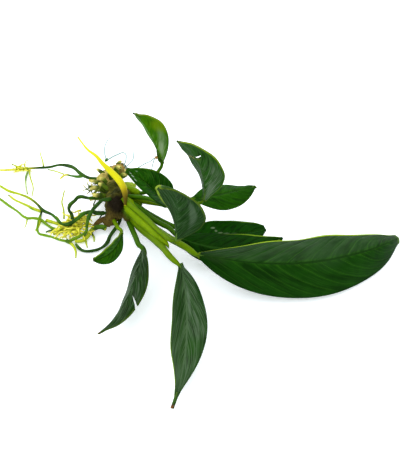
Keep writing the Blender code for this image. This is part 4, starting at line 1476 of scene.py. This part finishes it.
# %% [markdown]
# ## Side roots
#
# Between the main roots there are many thin ones, a third as thick and mostly yellow. They
# are plain tapering tubes, and each has its own share of the length where it turns young.

# %% Side roots
SIDE_ROOTS = {
    "upper_branch": dict(radii=(0.5, 0.2), young=0.1, route=[
        (-87.7, 44.4, 1.5), (-88.7, 49.0, 2), (-90.6, 54.6, 2.5), (-91.3, 57.5, 2.5)]),
    "cross_thin": dict(radii=(0.4, 0.3), young=0.0, route=[
        (-95.4, 43.4, 0.8), (-93.9, 37.5, 0.8), (-91.4, 29.7, 0.8), (-91.1, 23.4, 0.8)]),
    "fork_thread": dict(radii=(0.3, 0.35), young=0.1, route=[
        (-84.8, 41.6, 3.0), (-80.2, 39.8, 3.2), (-75.9, 36.6, 4.2)]),
    "middle_twig": dict(radii=(0.5, 0.7), young=0.5, route=[
        (-84.5, 11.9, 0.8), (-84.8, 8.6, 0.8), (-84.5, 4.6, 0.8), (-85.5, -1.8, 0.8)]),
    "left_twig": dict(radii=(0.45, 0.2), young=0.2, route=[
        (-91.2, 6.6, 0.8), (-91.2, 3.4, 0.7), (-91.7, -0.3, 0.6)]),
    "under_twig_a": dict(radii=(0.75, 0.3), young=0.4, route=[
        (-60.6, -5.7, 1.0), (-60.1, -9.4, 0.9), (-59.0, -13.5, 0.6)]),
    "under_twig_b": dict(radii=(0.75, 0.3), young=0.4, route=[
        (-58.1, -3.8, 0.9), (-56.5, -6.3, 0.8), (-56.0, -9.5, 0.6)]),
    "under_twig_c": dict(radii=(1.05, 0.35), young=0.3, route=[
        (-69.6, -9.3, 1.2), (-67.0, -11.3, 1.1), (-64.6, -15.4, 0.9), (-63.9, -20.4, 0.6)]),
    "thick_olive": dict(radii=(1.35, 0.85), young=0.45, route=[
        (-50.6, -3.0, 3.6), (-53.8, -1.6, 3.2), (-57.2, -2.8, 2.4), (-59.4, -6.6, 1.6),
        (-61.6, -9.3, 1.3), (-65.4, -9.6, 1.1)]),
    "faint_up": dict(radii=(0.35, 0.5), young=0.0, route=[
        (-73.8, 23.0, 5.0), (-74.3, 18.6, 4.0), (-74.5, 15.9, 3.4), (-73.3, 11.8, 2.2),
        (-72.5, 6.0, 1.4)]),
    "short_cross": dict(radii=(0.9, 0.7), young=0.55, route=[
        (-48.6, 4.6, 6.6), (-51.7, 5.2, 6.0), (-55.0, 6.3, 5.4), (-58.9, 7.9, 4.6),
        (-62.2, 8.0, 3.6), (-65.0, 7.7, 2.6)]),
    "short_twig": dict(radii=(0.45, 0.2), young=0.9, route=[
        (-52.9, 6.9, 4), (-54.0, 5.4, 3.2), (-54.6, 4.8, 2.6)]),
    "bow_second": dict(radii=(0.4, 0.6), young=0.9, route=[
        (-80.8, -2.9, 0.6), (-79.1, -2.1, 0.8), (-76.4, -1.9, 0.9), (-73.6, -2.6, 0.9)]),
    "pale_one": dict(radii=(0.9, 0.7), young=0.0, route=[
        (-81.3, 4.9, 1.2), (-77.8, 3.2, 1.6), (-74.9, 1.9, 1.6), (-72.1, 0.6, 1.6)]),
    "end_fork": dict(radii=(0.35, 0.5), young=0.0, route=[
        (-105.2, 47.7, 1.5), (-102.1, 46.2, 1.2), (-99.1, 45.3, 1.0)]),
    "end_yellow": dict(radii=(0.4, 0.8), young=0.0, route=[
        (-103.4, 24.3, 0.6), (-100.3, 21.1, 0.7), (-96.6, 18.6, 0.8), (-92.5, 16.1, 0.9),
        (-88.4, 13.5, 0.9), (-84.9, 11.7, 1.0)]),
}

for name, values in SIDE_ROOTS.items():
    finish = root_finish("skin_" + name, values["young"], (0.02, 0.06, 0.004),
                         (0.07, 0.17, 0.008), (0.42, 0.47, 0.02), (0.24, 0.36, 0.012))
    wear(tube(name, values["route"], values["radii"], smooth=6, sides=2), finish)
print(len(SIDE_ROOTS), "side roots")

# %% [markdown]
# ## Pale threads
#
# A few bluish threads stand up from the stem and cling to a blade. They are only half a
# millimetre thick, so few sides are enough. One carries a green knot, another a brown dot.

# %% Threads
THREADS = {
    "thread_tall": dict(radii=(0.36, 0.25), route=[
        (-52.9, 38.8, 12), (-54.1, 42.9, 14), (-53.7, 49.1, 15), (-51.0, 57.0, 14)]),
    "thread_arch": dict(radii=(0.38, 0.32), route=[
        (-52.6, 38.8, 12), (-47.7, 40.5, 14), (-43.5, 40.9, 15), (-42.5, 37.3, 14),
        (-43.5, 34.1, 12), (-44.6, 32.4, 9.0)]),
    "thread_right": dict(radii=(0.3, 0.34), route=[
        (-39.3, 44.1, 13), (-39.0, 38.5, 13), (-41.9, 34.1, 12), (-44.2, 32.2, 9.0)]),
    "thread_far": dict(radii=(0.26, 0.28), route=[
        (-24.7, 19.5, 30.4), (-26.2, 19.9, 29.6), (-28.6, 21.6, 26.0), (-31.5, 24.5, 22.0),
        (-34.0, 27.2, 18.0), (-39.5, 27.5, 13.5)]),
    "thread_leaf": dict(radii=(0.26, 0.26), route=[
        (-26.2, 19.9, 29.6), (-27.3, 19.6, 26.0), (-27.9, 18.9, 23.0), (-27.2, 15.2, 18.4)]),
}

pale = new_finish("pale_thread", Specular_IOR_Level=0.06, Roughness=0.5)
grain = noise(coordinates(pale)[0], 300.0)
feed(pale, Base_Color=blend(grain, (0.2, 0.33, 0.32), (0.36, 0.49, 0.48)))
for name, values in THREADS.items():
    wear(tube(name, values["route"], values["radii"], smooth=8, sides=1), pale)
node_finish = root_finish("skin_node", 0.9, (0.03, 0.09, 0.02), (0.06, 0.16, 0.03),
                          (0.1, 0.2, 0.03), (0.1, 0.2, 0.03))
wear(tube("thread_node", [(-53.5, 37.9, 12), (-52.9, 38.9, 12), (-52.3, 39.8, 12)],
          (0.5, 0.9, 0.5)), node_finish)
dot_finish = root_finish("skin_dot", 0.5, (0.12, 0.06, 0.01), (0.3, 0.16, 0.03),
                         (0.42, 0.24, 0.06), (0.2, 0.1, 0.02))
wear(tube("thread_dot", [(-24.7, 19.5, 30.4), (-25.5, 19.7, 30.0), (-26.3, 19.9, 29.5)],
          (0.5, 0.8, 0.3)), dot_finish)
print(len(THREADS), "threads")

# %% [markdown]
# ## The tangle
#
# Short yellow roots lie in a tangle below the stem, and small hairs stand on the crown. They
# are short crooked tubes with places drawn by a fixed sequence of chance, so that they come
# out the same every time. Placing each by hand would take long and look more even.

# %% Tangles
SEED = 11
STEPS = 4
LOWEST = 0.5
SCATTER = 0.55
WANDER = 0.8

TANGLES = {
    "tangle": dict(centre=(-67.5, -1.2, 2.0), spread=(5.5, 5.4, 1.8), count=96, reach=6.0,
        wide=(0.6, 0.25)),
    "tangle_top": dict(centre=(-63.5, 5.0, 3.4), spread=(4.5, 3.0, 1.6), count=16, reach=5.0,
        wide=(0.6, 0.25)),
    "tuft": dict(centre=(-101.0, 44.8, 1.2), spread=(5.0, 1.4, 0.6), count=16, reach=4.5,
        wide=(0.45, 0.2)),
    "crown_hairs": dict(centre=(-57.0, 19.0, 9.5), spread=(3.2, 5.5, 3.0), count=26, reach=5.5,
        wide=(0.42, 0.2)),
    "top_hairs": dict(centre=(-48.0, 30.5, 11.5), spread=(2.8, 3.4, 1.4), count=16, reach=3.6,
        wide=(0.5, 0.25)),
}

fuzz = root_finish("skin_fuzz", 0.2, (0.26, 0.32, 0.004), (0.52, 0.52, 0.012),
                   (0.7, 0.68, 0.07), (0.6, 0.55, 0.05))
green_fuzz = root_finish("skin_green_fuzz", 0.7, (0.03, 0.06, 0.005), (0.12, 0.16, 0.02),
                         (0.5, 0.42, 0.1), (0.35, 0.3, 0.06))


def chance_strand(dice, values):
    """A short crooked strand somewhere in the tangle, never below the table."""
    start = [m + s * dice.gauss(0, SCATTER) for m, s in zip(values["centre"], values["spread"])]
    start[2] = max(start[2], LOWEST)
    heading = dice.uniform(0, 2 * pi)
    points = [start]
    length = values["reach"] / STEPS
    for _ in range(STEPS):
        heading += dice.uniform(-WANDER, WANDER)
        x, y, z = points[-1]
        points.append([x + cos(heading) * length, y + sin(heading) * length,
                       max(z + dice.uniform(-WANDER, WANDER), LOWEST)])
    return points


dice = random.Random(SEED)
for name, values in TANGLES.items():
    strands = [tube(name, chance_strand(dice, values), values["wide"], smooth=3, sides=1)
               for _ in range(values["count"])]
    tangle = join(strands)
    wear(tangle, green_fuzz if "hairs" in name else fuzz)
    print(name, len(tangle.data.polygons), "faces")
